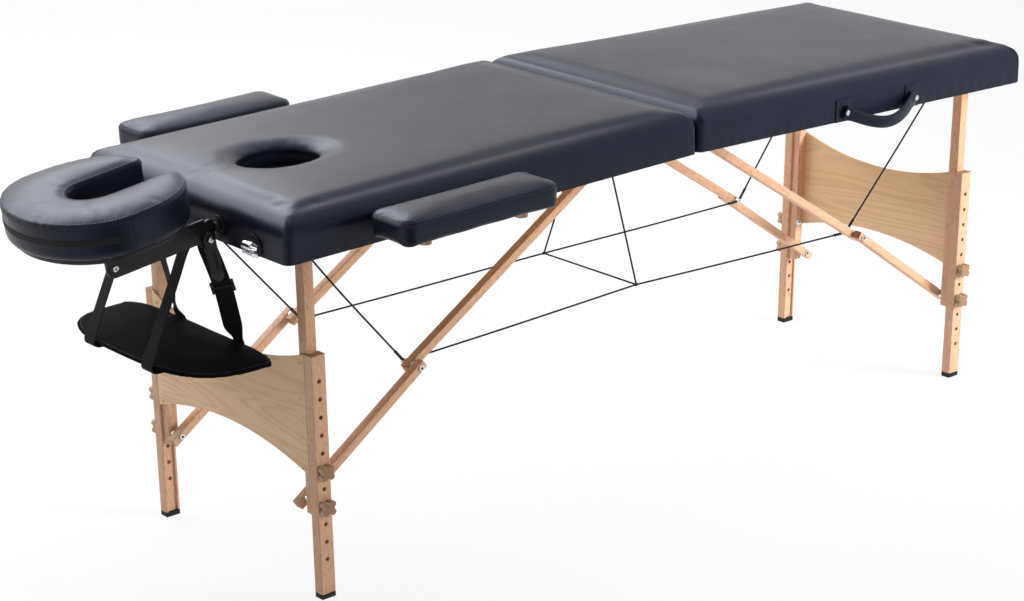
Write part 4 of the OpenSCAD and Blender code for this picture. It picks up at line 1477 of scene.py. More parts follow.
@dataclass(frozen=True)
class FaceRest:
    """Horseshoe cushion of the face rest."""

    frame: HalfFrame = HalfFrame(End.HEAD)
    rod: tuple[float, float] = PLAN.rod
    tilt: float = PLAN.tilt
    width: float = 0.162
    length: float = 0.285
    slot_w: float = 0.044
    slot_len: float = 0.181
    tip_back: float = 0.008
    end_share: float = 0.435
    bow: float = 0.77
    slot_round: float = 0.014
    base_z: float = 0.0443
    thick: float = 0.062
    crown: float = 0.008
    turnover: float = 0.010
    filling: Filling = Filling(voxel=0.0052, cap=0.0045)
    seam: Seam = Seam(width=0.0032, height=0.002)
    shares: tuple[tuple[float, float], ...] = ((0.35, 0.0), (0.0, 0.12), (0.05, 0.5), (0.0, 0.93), (0.2, 1.0))

    @property
    def place(self) -> Matrix:
        """Frame about the tilt rod, on the rest's slope."""
        return self.frame.tilted(*self.rod, self.tilt) @ Matrix.Translation((0, 0, self.base_z))

    @property
    def seam_z(self) -> float:
        """Height of the seam between the top and the side band."""
        return 0.93 * self.thick

    def half_outline(self, d: float) -> list[Vector]:
        """One side of the horseshoe, inset by d, from the closed end to the slot.

        Args:
            d: Distance inwards.

        Returns:
            The points.
        """
        end_l = self.end_share * self.length
        cx = self.length - end_l - self.tip_back
        w, reach, s = self.width - d, self.length - end_l - d, self.slot_w + d
        sx, q = self.slot_len - self.slot_w - self.tip_back, self.slot_round
        a1 = math.asin(((s + q) / w) ** (1 / self.bow))
        tip = cx - reach * math.cos(a1) ** self.bow
        turns = [QUARTER * i / 12 for i in range(13)]
        found = [(cx + (end_l - d) * math.cos(a), w * math.sin(a)) for a in turns]
        for i in range(1, 12):
            a = QUARTER - (QUARTER - a1) * i / 11
            found.append((cx - reach * math.cos(a) ** self.bow, w * math.sin(a) ** self.bow))
        for i in range(1, 4):
            a = QUARTER * i / 3
            found.append((tip + q - q * math.cos(a), s + q - q * math.sin(a)))
        for i in range(7):
            a = QUARTER * i / 6
            found.append((sx + s * math.sin(a), s * math.cos(a)))
        return [Vector((x, y, 0)) for x, y in found]

    def outline(self, d: float, z: float) -> list[Vector]:
        """The whole horseshoe at a height."""
        half = self.half_outline(d)
        whole = half + [Vector((p.x, -p.y, 0)) for p in reversed(half[1:-1])]
        return [Vector((p.x, p.y, z)) for p in whole]

    def block(self) -> Form:
        """The block that swells into the cushion.

        Returns:
            The form.
        """
        cap = self.filling.cap
        form = Form()
        rings = [
            self.outline(inset * self.turnover + 0.0012, share * self.thick)
            for inset, share in self.shares[:-1]]
        rings += [
            self.outline(0.2 * self.turnover, self.thick + 0.2 * cap),
            self.outline(0.8 * self.turnover, self.thick + 0.3 * self.crown),
            self.outline(2 * self.turnover, self.thick + self.crown - 0.2 * cap)]
        form.loft(rings)
        return form

    def held(self, co: Vector) -> float:
        """The cover is held at its base and at the seam."""
        return max(1 - ease(co.z, 0.004, 0.014), 0.97 - ease(abs(co.z - self.seam_z), 0.002, 0.008))

    def creases(self, co: Vector, normal: Vector) -> float:
        """Radial wrinkles on the closed end and puckers along the seam.

        Args:
            co: A point of the half's frame.
            normal: The surface's direction there.

        Returns:
            The step in metres.
        """
        centre = self.slot_len - self.slot_w - self.tip_back
        r, a = math.hypot(co.x - centre, co.y), math.atan2(co.y, co.x - centre)
        top = ease(normal.z, 0.5, 0.9)
        wave = math.sin(a * 17 + 3.4 * noise.noise(co * 19.0)) * max(0.0, 0.25 + 1.6 * noise.noise(co * 13.0))
        ring = ease(r, 0.045, 0.06) * (1 - ease(r, 0.1, 0.15))
        step = 0.0009 * wave * top * ring * ease(co.x, centre, centre + 0.04)
        run = math.sin(a * 58 + 3 * noise.noise(co * 18.0)) * max(0.0, 0.3 + noise.noise(co * 15.0))
        step += 0.0003 * run * (1 - ease(abs(co.z - self.seam_z), 0.001, 0.012))
        return step + 0.0008 * noise.noise(co * 17.0) * ease(co.z, 0.01, 0.03)

    def sewing(self, tree: BVHTree) -> tuple[Form, Form, Form, Form]:
        """Welt, stitches, the zip of the side band and dark lines of painted shade along the seams.

        Args:
            tree: The surface to lie on.

        Returns:
            The welt, the stitches, the zip and the painted shade lines.
        """
        welt, stitches, band, groove_shades = Form(), Form(), Form(), Form()
        self.seam.welt(welt, tree, self.outline(-0.002, self.seam_z), True)
        self.seam.stitches(stitches, tree, self.outline(0.0045, self.thick + 0.004), True)
        ring = self.outline(-0.004, 0.5 * self.thick)
        line = ring[-10:] + ring[:11]
        places, outs = laid_on(tree, spaced(line, 0.006))
        band.sweep(along(places, outs), oval(0.011, 0.0016, 12, 0.4))
        # Painted shade: dark lines down both ends of the zip band and under the seam, where the seams' hollows
        # would be shaded.
        for index, after in ((11, 12), (-11, -12)):
            for share in (0.0, 0.65):
                p = ring[index].lerp(ring[after], share)
                column = [Vector((p.x, p.y, self.thick * t)) for t in (0.04, 0.3, 0.6, 0.9)]
                GROOVE_SHADE.welt(groove_shades, tree, column, False)
        GROOVE_SHADE.welt(groove_shades, tree, self.outline(-0.002, self.seam_z - 0.0025), True)
        return welt, stitches, band, groove_shades

    def build(self) -> None:
        """Swells and sews the cushion."""
        mesh = self.filling.swell(self.block(), self.held)
        displaced(mesh, self.creases)
        upholster(mesh, self.place, "face_cushion", VINYL, "headrest", "headrest_cushion")
        welt, stitches, band, groove_shades = self.sewing(surface_of(mesh))
        settle(self.place, "headrest", (
            (welt, "face_cushion_welts", VINYL), (stitches, "face_cushion_stitches", PALE_THREAD),
            (band, "face_cushion_zip", ZIP), (groove_shades, "face_cushion_grooves", PAINTED_SHADE)))


@dataclass(frozen=True)
class ArmSling:
    """Half-moon pad on four webbing straps."""

    frame: HalfFrame = HalfFrame(End.HEAD)
    rod: tuple[float, float] = PLAN.rod
    rod_r: float = 0.004
    drop: float = 0.214
    half: float = 0.222
    depth: float = 0.184
    thick: float = 0.018
    in_share: float = 0.39
    bow: float = 3.0
    flat: float = 0.27
    tip: float = 0.14
    mid: float = 0.42
    strap_w: float = 0.033
    strap_t: float = 0.0018
    strap_y: float = 0.088
    knee: tuple[float, float] = (0.027, -0.014)
    slack: tuple[float, float] = (-0.019, -0.030)
    buckle: Triple = (-0.0445, 0.0, -0.1)
    buckle_lean: float = math.radians(18)
    buckle_turn: float = -0.8
    filling: Filling = Filling(voxel=0.005, cap=0.0025)
    seam: Seam = Seam(width=0.0036, height=0.0026)
    shares: tuple[tuple[float, float], ...] = (
        (0.95, 0.08), (0.985, 0.3), (0.992, 0.5), (0.955, 0.72), (0.8, 0.86), (0.5, 0.94))

    @property
    def place(self) -> Matrix:
        """Upright frame about the rod."""
        return self.frame.tilted(*self.rod, -self.frame.camber)

    def ring(self, k: float, z: float, count: int = 24) -> list[Vector]:
        """The half moon, shrunk by k about its middle.

        Args:
            k: Share of the full size.
            z: Height of the ring.
            count: How many points.

        Returns:
            The ring's points.
        """
        m, x0 = self.mid * self.depth, -self.in_share * self.depth
        found = []
        for i in range(count + 1):
            u = math.cos(math.pi * i / count)
            reach = self.tip + (1 - self.tip) * (1 - abs(u) ** self.bow) ** self.flat
            found.append(Vector((x0 + m + k * (self.depth * reach - m), k * self.half * u, z - self.drop)))
        for i in range(1, count // 2):
            u = math.sin(-QUARTER + math.tau * i / count)
            x = x0 + m + k * (self.depth * self.tip * u ** 8 - m)
            found.append(Vector((x, k * self.half * u, z - self.drop)))
        return found

    def held(self, co: Vector) -> float:
        """The cover is held by its edge seam."""
        return 1 - ease(abs(co.z + self.drop - 0.5 * self.thick), 0.001, 0.006)

    def creases(self, co: Vector, normal: Vector) -> float:
        """Dents under the straps and slow unevenness.

        Args:
            co: A point of the half's frame.
            normal: The surface's direction there.

        Returns:
            The step in metres.
        """
        strap = 1 - ease(abs(abs(co.y) - self.strap_y), 0.008, 0.03)
        edge = 1 - ease(self.depth * (1 - self.in_share) - co.x, 0.0, 0.03)
        inner = 1 - ease(co.x + self.in_share * self.depth, 0.0, 0.03)
        dent = strap * max(edge, inner) * ease(abs(normal.z), 0.4, 0.8)
        return 0.001 * noise.noise(co * 14.0) - 0.002 * dent

    def strap(self, points: Sequence[tuple[float, float]], y: float, twist: float) -> list[Matrix]:
        """Frames of one strap through points in x and z, twisted on its way down.

        Args:
            points: Points of the line.
            y: Place across the table.
            twist: Largest twist in radians.

        Returns:
            A frame for each step.
        """
        path = smooth_path([Vector((x, y, z)) for x, z in points], 6)
        frames = along(spaced(path, 0.004), Vector((0, 1, 0)))
        found = []
        for i, frame in enumerate(frames):
            t = i / (len(frames) - 1)
            angle = twist * ease(t, 0.0, 0.12) * (1 - ease(t, 0.66, 0.8))
            found.append(frame @ Matrix.Rotation(angle, 4, "Z"))
        return found

    def straps(self) -> Form:
        """The four straps, from the loops on the rod to under the pad.

        Returns:
            The form.
        """
        form = Form()
        gap = 0.0003 + self.strap_t / 2
        out, inn = (1 - self.in_share) * self.depth, -self.in_share * self.depth
        low, top, mid = -self.drop - gap, -self.drop + self.thick + gap, -self.drop + self.thick / 2
        r = self.rod_r + 0.0003 + self.strap_t / 2
        section = oval(self.strap_t, self.strap_w, 16, 0.35)
        loop = [(r * math.cos(a), r * math.sin(a)) for a in (math.tau * k / 20 for k in range(20))]
        outer = [
            (r * 0.9, -r * 0.4), self.knee, (0.055, -0.075), (out - 0.008, top + 0.012), (out + gap, mid),
            (out - 0.006, low), (out - 0.04, low)]
        inner = [
            (-r * 0.9, -r * 0.4), self.slack, (self.buckle[0], self.buckle[2]), (inn + 0.008, top + 0.014),
            (inn - gap, mid), (inn + 0.006, low), (inn + 0.04, low)]
        for side in Side:
            y = side.value * self.strap_y
            ring = [Vector((x, y, z)) for x, z in loop]
            form.sweep(along(ring, Vector((0, 1, 0)), True), section, True, across=1)
            for points, twist in ((outer, -0.12), (inner, 0.8 if side is Side.FRONT else -0.75)):
                form.sweep(self.strap(points, y, twist), section, across=1)
        return form

    def slider(self) -> Form:
        """The slider buckle on the front inner strap.

        Returns:
            The form.
        """
        form = Form()
        y = -self.strap_y
        turn = turned_at((self.buckle[0], y, self.buckle[2]), self.buckle_lean, "Y")
        turn = turn @ Matrix.Rotation(self.buckle_turn, 4, "Z")
        w, t = self.strap_w / 2, 0.0016
        for side in (-1, 1):
            at = side * (w + 0.0022)
            low, high = Vector((-0.0026, at - 0.0018, -0.011)), Vector((0.0026, at + 0.0018, 0.011))
            form.block(low, high, turn, 0.0009)
        for z, x in ((-0.0093, -t), (0.0, t), (0.0093, -t)):
            low = Vector((x - 0.0012, -w - 0.003, z - 0.0018))
            high = Vector((x + 0.0012, w + 0.003, z + 0.0018))
            form.block(low, high, turn, 0.0008)
        return form

    def build(self) -> None:
        """Builds the pad with its edge seam, the straps and the buckle."""
        form = Form()
        form.loft([self.ring(k, z * self.thick) for k, z in self.shares])
        mesh = self.filling.swell(form, self.held)
        displaced(mesh, self.creases)
        tree = surface_of(mesh)
        upholster(mesh, self.place, "sling_cushion", SLING_VINYL, "arm_sling", "sling_pad")
        welt, stitches = Form(), Form()
        self.seam.welt(welt, tree, self.ring(1.01, 0.5 * self.thick), True)
        self.seam.stitches(stitches, tree, self.ring(0.965, 0.95 * self.thick), True)
        settle(self.place, "arm_sling", (
            (welt, "sling_piping", SLING_VINYL), (stitches, "sling_stitches", THREAD),
            (self.straps(), "sling_webbing", WEBBING, "sling_straps"),
            (self.slider(), "sling_slider", PLASTIC)))


@dataclass(frozen=True)
class Armrest:
    """Padded board of one armrest."""

    side: Side
    half_w: float = PLAN.half_w
    length: float = 0.336
    centre_x: float = PLAN.arm_x
    width: float = 0.108
    gap: float = 0.023
    base_z: float = 0.0293
    thick: float = 0.045
    round_r: float = 0.024
    crown: float = 0.004
    gather_pitch: float = 0.012
    hem_pitch: float = 0.084
    corner_drop: float = 0.006
    hem_drop: float = 0.0022
    filling: Filling = Filling(voxel=0.005, cap=0.0035)
    seam: Seam = Seam()
    shares: tuple[tuple[float, float], ...] = (
        (0.16, 0.0), (0.05, 0.14), (0.03, 0.45), (0.03, 0.72), (0.09, 0.8), (0.26, 0.9), (0.6, 0.95))

    @property
    def centre(self) -> Vector:
        """Middle of the pad."""
        return Vector((self.centre_x, self.side.value * (self.half_w + self.gap + self.width / 2), 0))

    def ring(self, inset: float, z: float, share: float = 0.9) -> list[Vector]:
        """The pad's outline inset all round."""
        radius = max(self.round_r - share * inset, 0.002)
        return rounded(self.length / 2 - inset, self.width / 2 - inset, radius, self.centre, self.base_z + z)

    def held(self, co: Vector) -> float:
        """The cover is held under the board and by its seam."""
        z = co.z - self.base_z
        return max(1 - ease(z, 0.003, 0.012), 0.6 - ease(abs(z - 0.8 * self.thick), 0.001, 0.005))

    def creases(self, co: Vector, normal: Vector) -> float:
        """Gathers under the seam and slow unevenness.

        Args:
            co: A point of the half's frame.
            normal: The surface's direction there; not used.

        Returns:
            The step in metres.
        """
        z = co.z - self.base_z
        run = math.sin((co.x + abs(co.y)) * math.tau / self.gather_pitch + 4 * noise.noise(co * 20.0))
        near = 1 - ease(abs(z - 0.76 * self.thick), 0.002, 0.01)
        return 0.00014 * run * near + 0.0007 * noise.noise(co * 18.0)

    def drawn(self, mesh: bpy.types.Mesh) -> None:
        """Pulls the cover's lower corners to points and scallops its hem.

        Args:
            mesh: The mesh.
        """
        for v in mesh.vertices:
            z = v.co.z - self.base_z
            low = 1 - ease(z, 0.004, 0.022)
            away = v.co - self.centre
            dx = self.length / 2 - abs(away.x)
            dy = self.width / 2 - abs(away.y)
            corner = math.exp(-(dx * dx + dy * dy) / 0.0005)
            wave = 0.5 + 0.5 * math.cos(away.x * math.tau / self.hem_pitch)
            hem = math.exp(-min(dx, dy) / 0.008)
            v.co.z -= low * (self.corner_drop * corner + self.hem_drop * hem * (1 - wave) * (1 - corner))

    def build(self) -> None:
        """Swells and sews the pad."""
        name = self.side.name.lower()
        place = HalfFrame(End.HEAD).matrix
        form = Form()
        rings = [self.ring(inset * self.round_r, share * self.thick) for inset, share in self.shares]
        form.loft([*rings, self.ring(1.4 * self.round_r, self.thick + self.crown - self.filling.cap, 0.5)])
        mesh = self.filling.swell(form, self.held)
        displaced(mesh, self.creases)
        self.drawn(mesh)
        tree, body = surface_of(mesh), f"{name}_armrest"
        upholster(mesh, place, f"{name}_arm_cushion", VINYL, body, f"{body}_pad")
        welt, stitches, groove_shades = Form(), Form(), Form()
        for share in (0.83, 0.72):
            self.seam.welt(welt, tree, self.ring(-0.004, share * self.thick), True)
        # Painted shade: dark lines just below each welt, where the seam's hollow would be shaded.
        for share in (0.79, 0.68):
            GROOVE_SHADE.welt(groove_shades, tree, self.ring(-0.004, share * self.thick), True)
        for inset, share in ((-0.004, 0.775), (0.002, 0.9)):
            self.seam.stitches(stitches, tree, self.ring(inset, share * self.thick), True)
        settle(place, body, (
            (welt, f"{name}_arm_welts", VINYL), (stitches, f"{name}_arm_stitches", THREAD),
            (groove_shades, f"{name}_arm_grooves", PAINTED_SHADE)))


@dataclass(frozen=True)
class CarryHandle:
    """Padded carry strap between two riveted tabs on the foot half's front."""

    frame: HalfFrame = HalfFrame(End.FOOT)
    half_w: float = PLAN.half_w
    ends: tuple[float, float] = (0.388, 0.588)
    height: float = 0.020
    sag: float = 0.028
    out: float = 0.026
    grip: tuple[float, float] = (0.024, 0.008)
    tab: tuple[float, float] = (0.040, 0.002)
    gap: float = 0.0003
    rivet: tuple[float, float] = (0.0052, 0.0016)
    seam: Seam = Seam(pitch=0.0045, stitch=0.003)

    def point(self, t: float) -> Vector:
        """The strap's middle line.

        Args:
            t: Share of the way, from 0 to 1.

        Returns:
            The point.
        """
        x0, x1 = self.ends
        bend = math.sin(math.pi * t)
        y = -self.half_w - self.gap - self.tab[1] - self.grip[1] / 2 - self.out * bend
        return Vector((x0 + t * (x1 - x0), y, self.height - self.sag * bend))

    def strap(self) -> Form:
        """The padded strap.

        Returns:
            The form.
        """
        form = Form()
        frames = along([self.point(i / 40) for i in range(41)], Vector((0, -1, 0)))
        for i, frame in enumerate(frames):
            t = abs(i / 20 - 1)
            plump = 1 + 0.25 * (1 - ease(t, 0.6, 0.85))
            tall = 1 + 0.22 * ease(t, 0.8, 0.97)
            frames[i] = frame @ Matrix.Diagonal((tall, plump, 1, 1))
        form.sweep(frames, oval(self.grip[0], self.grip[1], 20, 0.75))
        return form

    def tabs(self) -> Form:
        """The two sewn tabs behind the strap's ends.

        Returns:
            The form.
        """
        form = Form()
        w, t = self.tab[0] / 2, self.tab[1]
        y = -self.half_w - self.gap
        for x in self.ends:
            form.block(Vector((x - w, y - t, 0)), Vector((x + w, y, 0.044)), Matrix(), 0.0009, 3)
        return form

    def build(self) -> None:
        """Builds strap, tabs, stitches and rivet domes."""
        strap, tabs, stitches, domes = self.strap(), self.tabs(), Form(), Form()
        shape = bpy.data.meshes.new("strap_shape")
        strap.bm.to_mesh(shape)
        tree = surface_of(shape)
        for off in (-0.0085, 0.0085):
            line = [self.point(0.06 + 0.88 * i / 30) + Vector((0, -0.012, off)) for i in range(31)]
            self.seam.stitches(stitches, tree, line, False)
        w = self.tab[0] / 2 - 0.003
        y = -self.half_w - self.gap - self.tab[1]
        for x in self.ends:
            corners = [
                Vector((x + a * w, y, 0.022 + b * 0.019)) for a, b in ((-1, -1), (1, -1), (1, 1), (-1, 1))]
            for frame in along(spaced(corners, self.seam.pitch, True), Vector((0, -1, 0)), True):
                stitches.bead(frame, (self.seam.thread, self.seam.thread * 0.7, self.seam.stitch / 2))
            turn = turned_at((x, y - self.grip[1] - 0.0044, self.height), QUARTER, "X")
            r, h = self.rivet
            dome = (0, 0), (r, 0), (r, h * 0.3), (r * 0.85, h * 0.7), (r * 0.5, h * 0.95), (0, h)
            domes.lathe(dome, turn)
        settle(self.frame.matrix, "foot_half", (
            (strap, "handle_strap", VINYL, "carry_handle"), (tabs, "handle_tabs", VINYL),
            (stitches, "handle_stitches", THREAD), (domes, "handle_rivet_domes", CHROME)))


# ---------------------------------------------------------------- cables


@dataclass(frozen=True)
class Cables:
    """Bracing cables with their crimped sleeves, held at both ends."""

    joint: tuple[float, float] = PLAN.joint
    leg: tuple[float, float] = (PLAN.leg_x, 0.016)
    joint_y: float = 0.152
    leg_y: float = 0.173
    web: Triple = (0.162781, 0.133, 0.357396)
    anchor: Triple = (0.014, 0.025, -0.007)
    radius: float = 0.0018
    sleeve: tuple[float, float] = (0.003, 0.026)
    trim: float = 0.0059
    loose: float = 0.007
    taut: float = 0.0015
    kinks: tuple[tuple[float, float], ...] = ((0.12, 0.28), (0.38, 0.95), (0.6, 0.8), (0.85, 0.25))

    def joint_at(self, end: End, y: int) -> Vector:
        """The eye at a strut joint."""
        return HalfFrame(end).at(self.joint[0], y * self.joint_y, self.joint[1])

    def leg_at(self, end: End, y: int) -> Vector:
        """The eye at a leg's top."""
        return HalfFrame(end).at(self.leg[0], y * self.leg_y, self.leg[1])

    def web_at(self, y: int) -> Vector:
        """The sleeve where the cables under the fold meet."""
        return Vector((self.web[0], y * self.web[1], self.web[2]))

    def run(self, a: Vector, b: Vector, slack: float, trim_a: float, trim_b: float) -> list[Vector]:
        """A run between two points that sags by slack and has a slight kink.

        Args:
            a: First end.
            b: Second end.
            slack: How far it sags.
            trim_a: Length left free at the first end.
            trim_b: Length left free at the second end.

        Returns:
            The run's points.
        """
        way = (b - a).normalized()
        p, q = a + way * trim_a, b - way * trim_b
        drop = Vector((0.35, 0, -1)) * slack
        points = [p, *(p.lerp(q, share) + drop * depth for share, depth in self.kinks), q]
        return spaced(smooth_path(points, 8), 0.006)

    def line(self, points: Sequence[Vector]) -> Form:
        """The cable along a run."""
        form = Form()
        form.sweep(along(points, Vector((0, 1, 0.01))), oval(2 * self.radius, 2 * self.radius, 10))
        return form

    def sleeves(self, spots: Sequence[tuple[Vector, Vector]]) -> Form:
        """Crimped sleeves that start at a point and run towards another.

        Args:
            spots: Where each goes.

        Returns:
            The form.
        """
        form = Form()
        r, length = self.sleeve
        for at, toward in spots:
            profile = [(0.0, 0.0), (r * 0.8, 0.0), (r, 0.0012)]
            for k in range(3):
                z = length * (0.22 + 0.26 * k)
                profile += [(r, z - 0.003), (r * 0.78, z), (r, z + 0.003)]
            profile += [(r, length - 0.0012), (r * 0.8, length), (0.0, length)]
            form.lathe(profile, aimed(at, toward), 20)
        return form

    def bent(
        self, form: Form, name: str, finish: Finish,
    ) -> None:
        """Makes a piece on no body and bakes its place into its mesh."""
        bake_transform(piece(form, name, finish, None))

    def leg_cable(self, end: End, side: Side) -> tuple[Vector, Vector]:
        """Builds the cable from a leg's top to its strut joint, and the sleeve at the joint.

        Args:
            end: The half.
            side: The side of the table.

        Returns:
            Where the sleeve at the leg's top starts, and a point that it runs towards.
        """
        name = f"{end.name}_{side.name}_leg_cable".lower()
        slack = self.loose if (end, side) == (End.HEAD, Side.FRONT) else self.taut
        top, eye = self.leg_at(end, side.value), self.joint_at(end, side.value)
        points = self.run(top, eye, slack, self.trim, self.trim)
        first, last = points[0], points[-1]
        self.bent(self.line(points), name, SHEATH)
        self.bent(self.sleeves([(last, points[-5])]), f"{name}_sleeve", PLASTIC)
        return first, points[4]

    def web_cables(self, end: End, side: Side) -> None:
        """Builds the cables from a strut joint to the web under the fold.

        Args:
            end: The half.
            side: The side of the table.
        """
        y, name = side.value, f"{end.name}_{side.name}_web_cable".lower()
        eye, node = self.joint_at(end, y), self.web_at(y)
        if end is End.HEAD:
            whole = self.run(eye, node + (eye - node).normalized() * 0.0068, 0.001, self.trim, 0.0)
            middle = len(whole) // 2
            self.bent(self.line(whole[:middle + 1]), f"{name}_a", SHEATH)
            self.bent(self.line(whole[middle:]), f"{name}_b", SHEATH)
        else:
            whole = self.run(eye, node, 0.001, self.trim, 0.0)
            self.bent(self.line(whole), name, SHEATH)
            hung = HalfFrame(end).at(self.anchor[0], y * self.anchor[1], self.anchor[2])
            hanger = self.run(hung, node, 0.0008, 3 * self.radius, 0.0)
            piece(self.line(hanger), f"{side.name.lower()}_hanger_cable", SHEATH, "foot_half")
        self.bent(self.sleeves([(whole[0], whole[4])]), f"{name}_sleeve", PLASTIC)

    def build(self) -> None:
        """Builds every cable and sleeve; the runs between two bodies are left on no body."""
        for end in End:
            name = end.name.lower()
            bodies = f"{name}_half", f"{name}_upper_strut_pair"
            tops = []
            for side in Side:
                tops.append(self.leg_cable(end, side))
                self.web_cables(end, side)
            piece(self.sleeves(tops), f"{name}_top_sleeves", PLASTIC, bodies[0], (f"{name}_cables",))
        a, b = self.web_at(-1), self.web_at(1)
        piece(self.line(spaced([a, b], 0.01)), "cross_cable", SHEATH, "foot_half")
        form = Form()
        for node in (a, b):
            form.bead(Matrix.Translation(node), (self.sleeve[1] / 4, self.sleeve[0], self.sleeve[0]), 16, 10)
        piece(form, "web_sleeves", PLASTIC, "foot_half")


# ---------------------------------------------------------------- timber, ply and fittings


@dataclass(frozen=True)
class Carcass:
    """Timber frame, legs, struts and fittings, taken from the CAD nodes."""

    frame: dict = field(repr=False, compare=False)
    leg_x: float = PLAN.leg_x
    strut_z: float = -0.4639
    hanger: tuple[float, float] = (0.073, 0.016)
    joint: tuple[float, float] = PLAN.joint

    def body_of(self, node: str) -> str:
        """The body that holds a CAD node."""
        bodies = self.frame["record"]["behaviour"]["bodies"]
        return next(name for name, nodes in bodies.items() if node in nodes)

    def mill(self, node: str, finish: Finish, **settings: object) -> None:
        """Redraws one node."""
        Milled(node, self.body_of(node), finish, **settings).build(self.frame["nodes"])

    def repaint(self, node: str, finish: Finish) -> None:
        """Gives a CAD node a finish and leaves its mesh alone.

        Args:
            node: Name of the CAD node.
            finish: Its finish.
        """
        made = self.frame["nodes"][node]
        made.data.materials.clear()
        made.data.materials.append(finish.material())
        LOG.info("%s: repainted", node)

    def along_grain(self, end: End, a: tuple[float, float], b: tuple[float, float]) -> tuple[Timber, Triple]:
        """Beech whose grain runs along a strut, with the strut's direction.

        Args:
            end: The half.
            a: First end.
            b: Second end.

        Returns:
            The finish and the direction.
        """
        place = HalfFrame(end)
        way = (place.at(b[0], 0, b[1]) - place.at(a[0], 0, a[1])).normalized()
        turn = math.atan2(way.x, way.z)
        name = f"Beech, grain turned {round(math.degrees(turn)) % 360}"
        return Timber(name, Slot.BEECH, turn=(0, turn, 0)), (way.x, way.y, way.z)

    def build_half(self, end: End) -> None:
        """Everything under one half.

        Args:
            end: The half.
        """
        name = end.name.lower()
        self.mill(f"{name}_frame", BEECH_LONG, edge=0.001, grain=ALONG)
        self.mill(f"{name}_deck", DECK_PLY, edge=0.0005, layers=UPRIGHT, layer=0.0013)
        self.mill(f"{name}_upper_legs", BEECH_UP, edge=0.0014, grain=UPRIGHT)
        self.mill(f"{name}_end_panel", PANEL_PLY, edge=0.0006, layers=ALONG, layer=0.00125, least=0.0)
        low, lean = self.along_grain(end, (self.leg_x, self.strut_z), self.joint)
        self.mill(f"{name}_lower_struts", low, edge=0.0012, grain=lean)
        high, lean = self.along_grain(end, self.hanger, self.joint)
        self.mill(f"{name}_upper_struts", high, edge=0.0012, grain=lean)
        for side in Side:
            leg = f"{name}_{side.name.lower()}"
            self.mill(f"{leg}_lower_leg", BEECH_UP, edge=0.0008, grain=UPRIGHT, least=0.02)
            self.mill(f"{leg}_foot_cap", RUBBER, edge=0.0012, least=0.0)
            for bolt in "ab":
                self.mill(f"{leg}_knob_{bolt}", KNOB_WOOD, edge=0.0016, segments=3, least=0.0, grain=ACROSS)
        for node in ("frame_bolts", "hinge_leaves", "leg_bolts", "joint_bolts", "joint_eyes"):
            self.repaint(f"{name}_{node}", CHROME)
        for node in ("joint_bolts", "leg_bolts"):
            self.sockets(f"{name}_{node}")

    def sockets(self, node: str, radius: float = 0.0027) -> None:
        """Puts a dark hexagon of painted shade, standing for the socket's hollow, in both ends of each bolt of
        a node.

        Args:
            node: Name of the CAD node.
            radius: Radius of a socket.
        """
        form, marks = Form(self.frame["nodes"][node].data), Form()
        bmesh.ops.remove_doubles(form.bm, verts=form.bm.verts, dist=1e-6)
        seen = set()
        for seed in form.bm.verts:
            if seed in seen:
                continue
            bolt = form.island(seed)
            seen.update(bolt)
            low = Vector([min(v.co[i] for v in bolt) for i in range(3)])
            high = Vector([max(v.co[i] for v in bolt) for i in range(3)])
            for side, y in ((-1, low.y), (1, high.y)):
                at = Vector(((low.x + high.x) / 2, y, (low.z + high.z) / 2))
                turn = turned_at(at, -side * QUARTER, "X")
                # Painted shade: a thin dark hexagon laid on the bolt's end where the socket's hollow would be
                # shaded.
                marks.lathe(((0, -0.0002), (radius, -0.0002), (radius, 0.0001), (0, 0.0001)), turn, 6)
        form.bm.free()
        piece(marks, f"{node}_sockets", PAINTED_SHADE, self.body_of(node))

    def build(self) -> None:
        """Both halves, the end fittings and the accessories' hard parts."""
        for end in End:
            self.build_half(end)
        for node, finish, edge in (
                ("end_washers", COATED, 0.0007), ("latch_bases", CHROME, 0.0004),
                ("front_latch_lever", CHROME, 0.0004), ("back_latch_lever", CHROME, 0.0004),
                ("headrest_posts", COATED, 0.0008), ("headrest_platform", COATED, 0.001),
                ("headrest_lever", COATED, 0.0012)):
            self.mill(node, finish, edge=edge, least=0.0)
        self.repaint("latch_catches", CHROME)
        for side in Side:
            bearers = f"{side.name.lower()}_armrest_bearers"
            self.mill(bearers, BEECH_ACROSS, edge=0.0015, least=0.0, grain=ACROSS)


@dataclass(frozen=True)
class Fastener:
    """A recessed screw or pin head."""

    radius: float
    height: float
    finish: Finish
    recess: float = 0.55

    def add(self, heads: Form, recess_shades: Form, turn: Matrix) -> None:
        """Adds the domed head and a dark cross of painted shade for its recess, on a frame whose z points
        outwards.

        Args:
            heads: Takes the head.
            recess_shades: Takes the dark cross of painted shade in the recess.
            turn: Frame whose z points outwards.
        """
        r, h = self.radius, self.height
        dish = self.recess * r
        heads.lathe((
            (0, 0), (r * 0.96, 0), (r, h * 0.25), (r * 0.93, h * 0.62), (r * 0.72, h * 0.93), (dish, h),
            (dish * 0.82, h * 0.72), (0, h * 0.6)), turn, 28)
        # Painted shade: dark blocks in the cross where the recess's hollow would be shaded.
        arm, thin = dish * 0.9, dish * 0.24
        for a, b in ((arm, thin), (thin, arm)):
            recess_shades.block(Vector((-a, -b, h * 0.5)), Vector((a, b, h * 0.8)), turn, thin * 0.3, 1)


PANEL_SCREW = Fastener(0.0034, 0.0012, BRASS, 0.62)
PLATE_SCREW = Fastener(0.0055, 0.0022, CHROME)
ROD_CAP = Fastener(0.0048, 0.002, CHROME, 0.4)


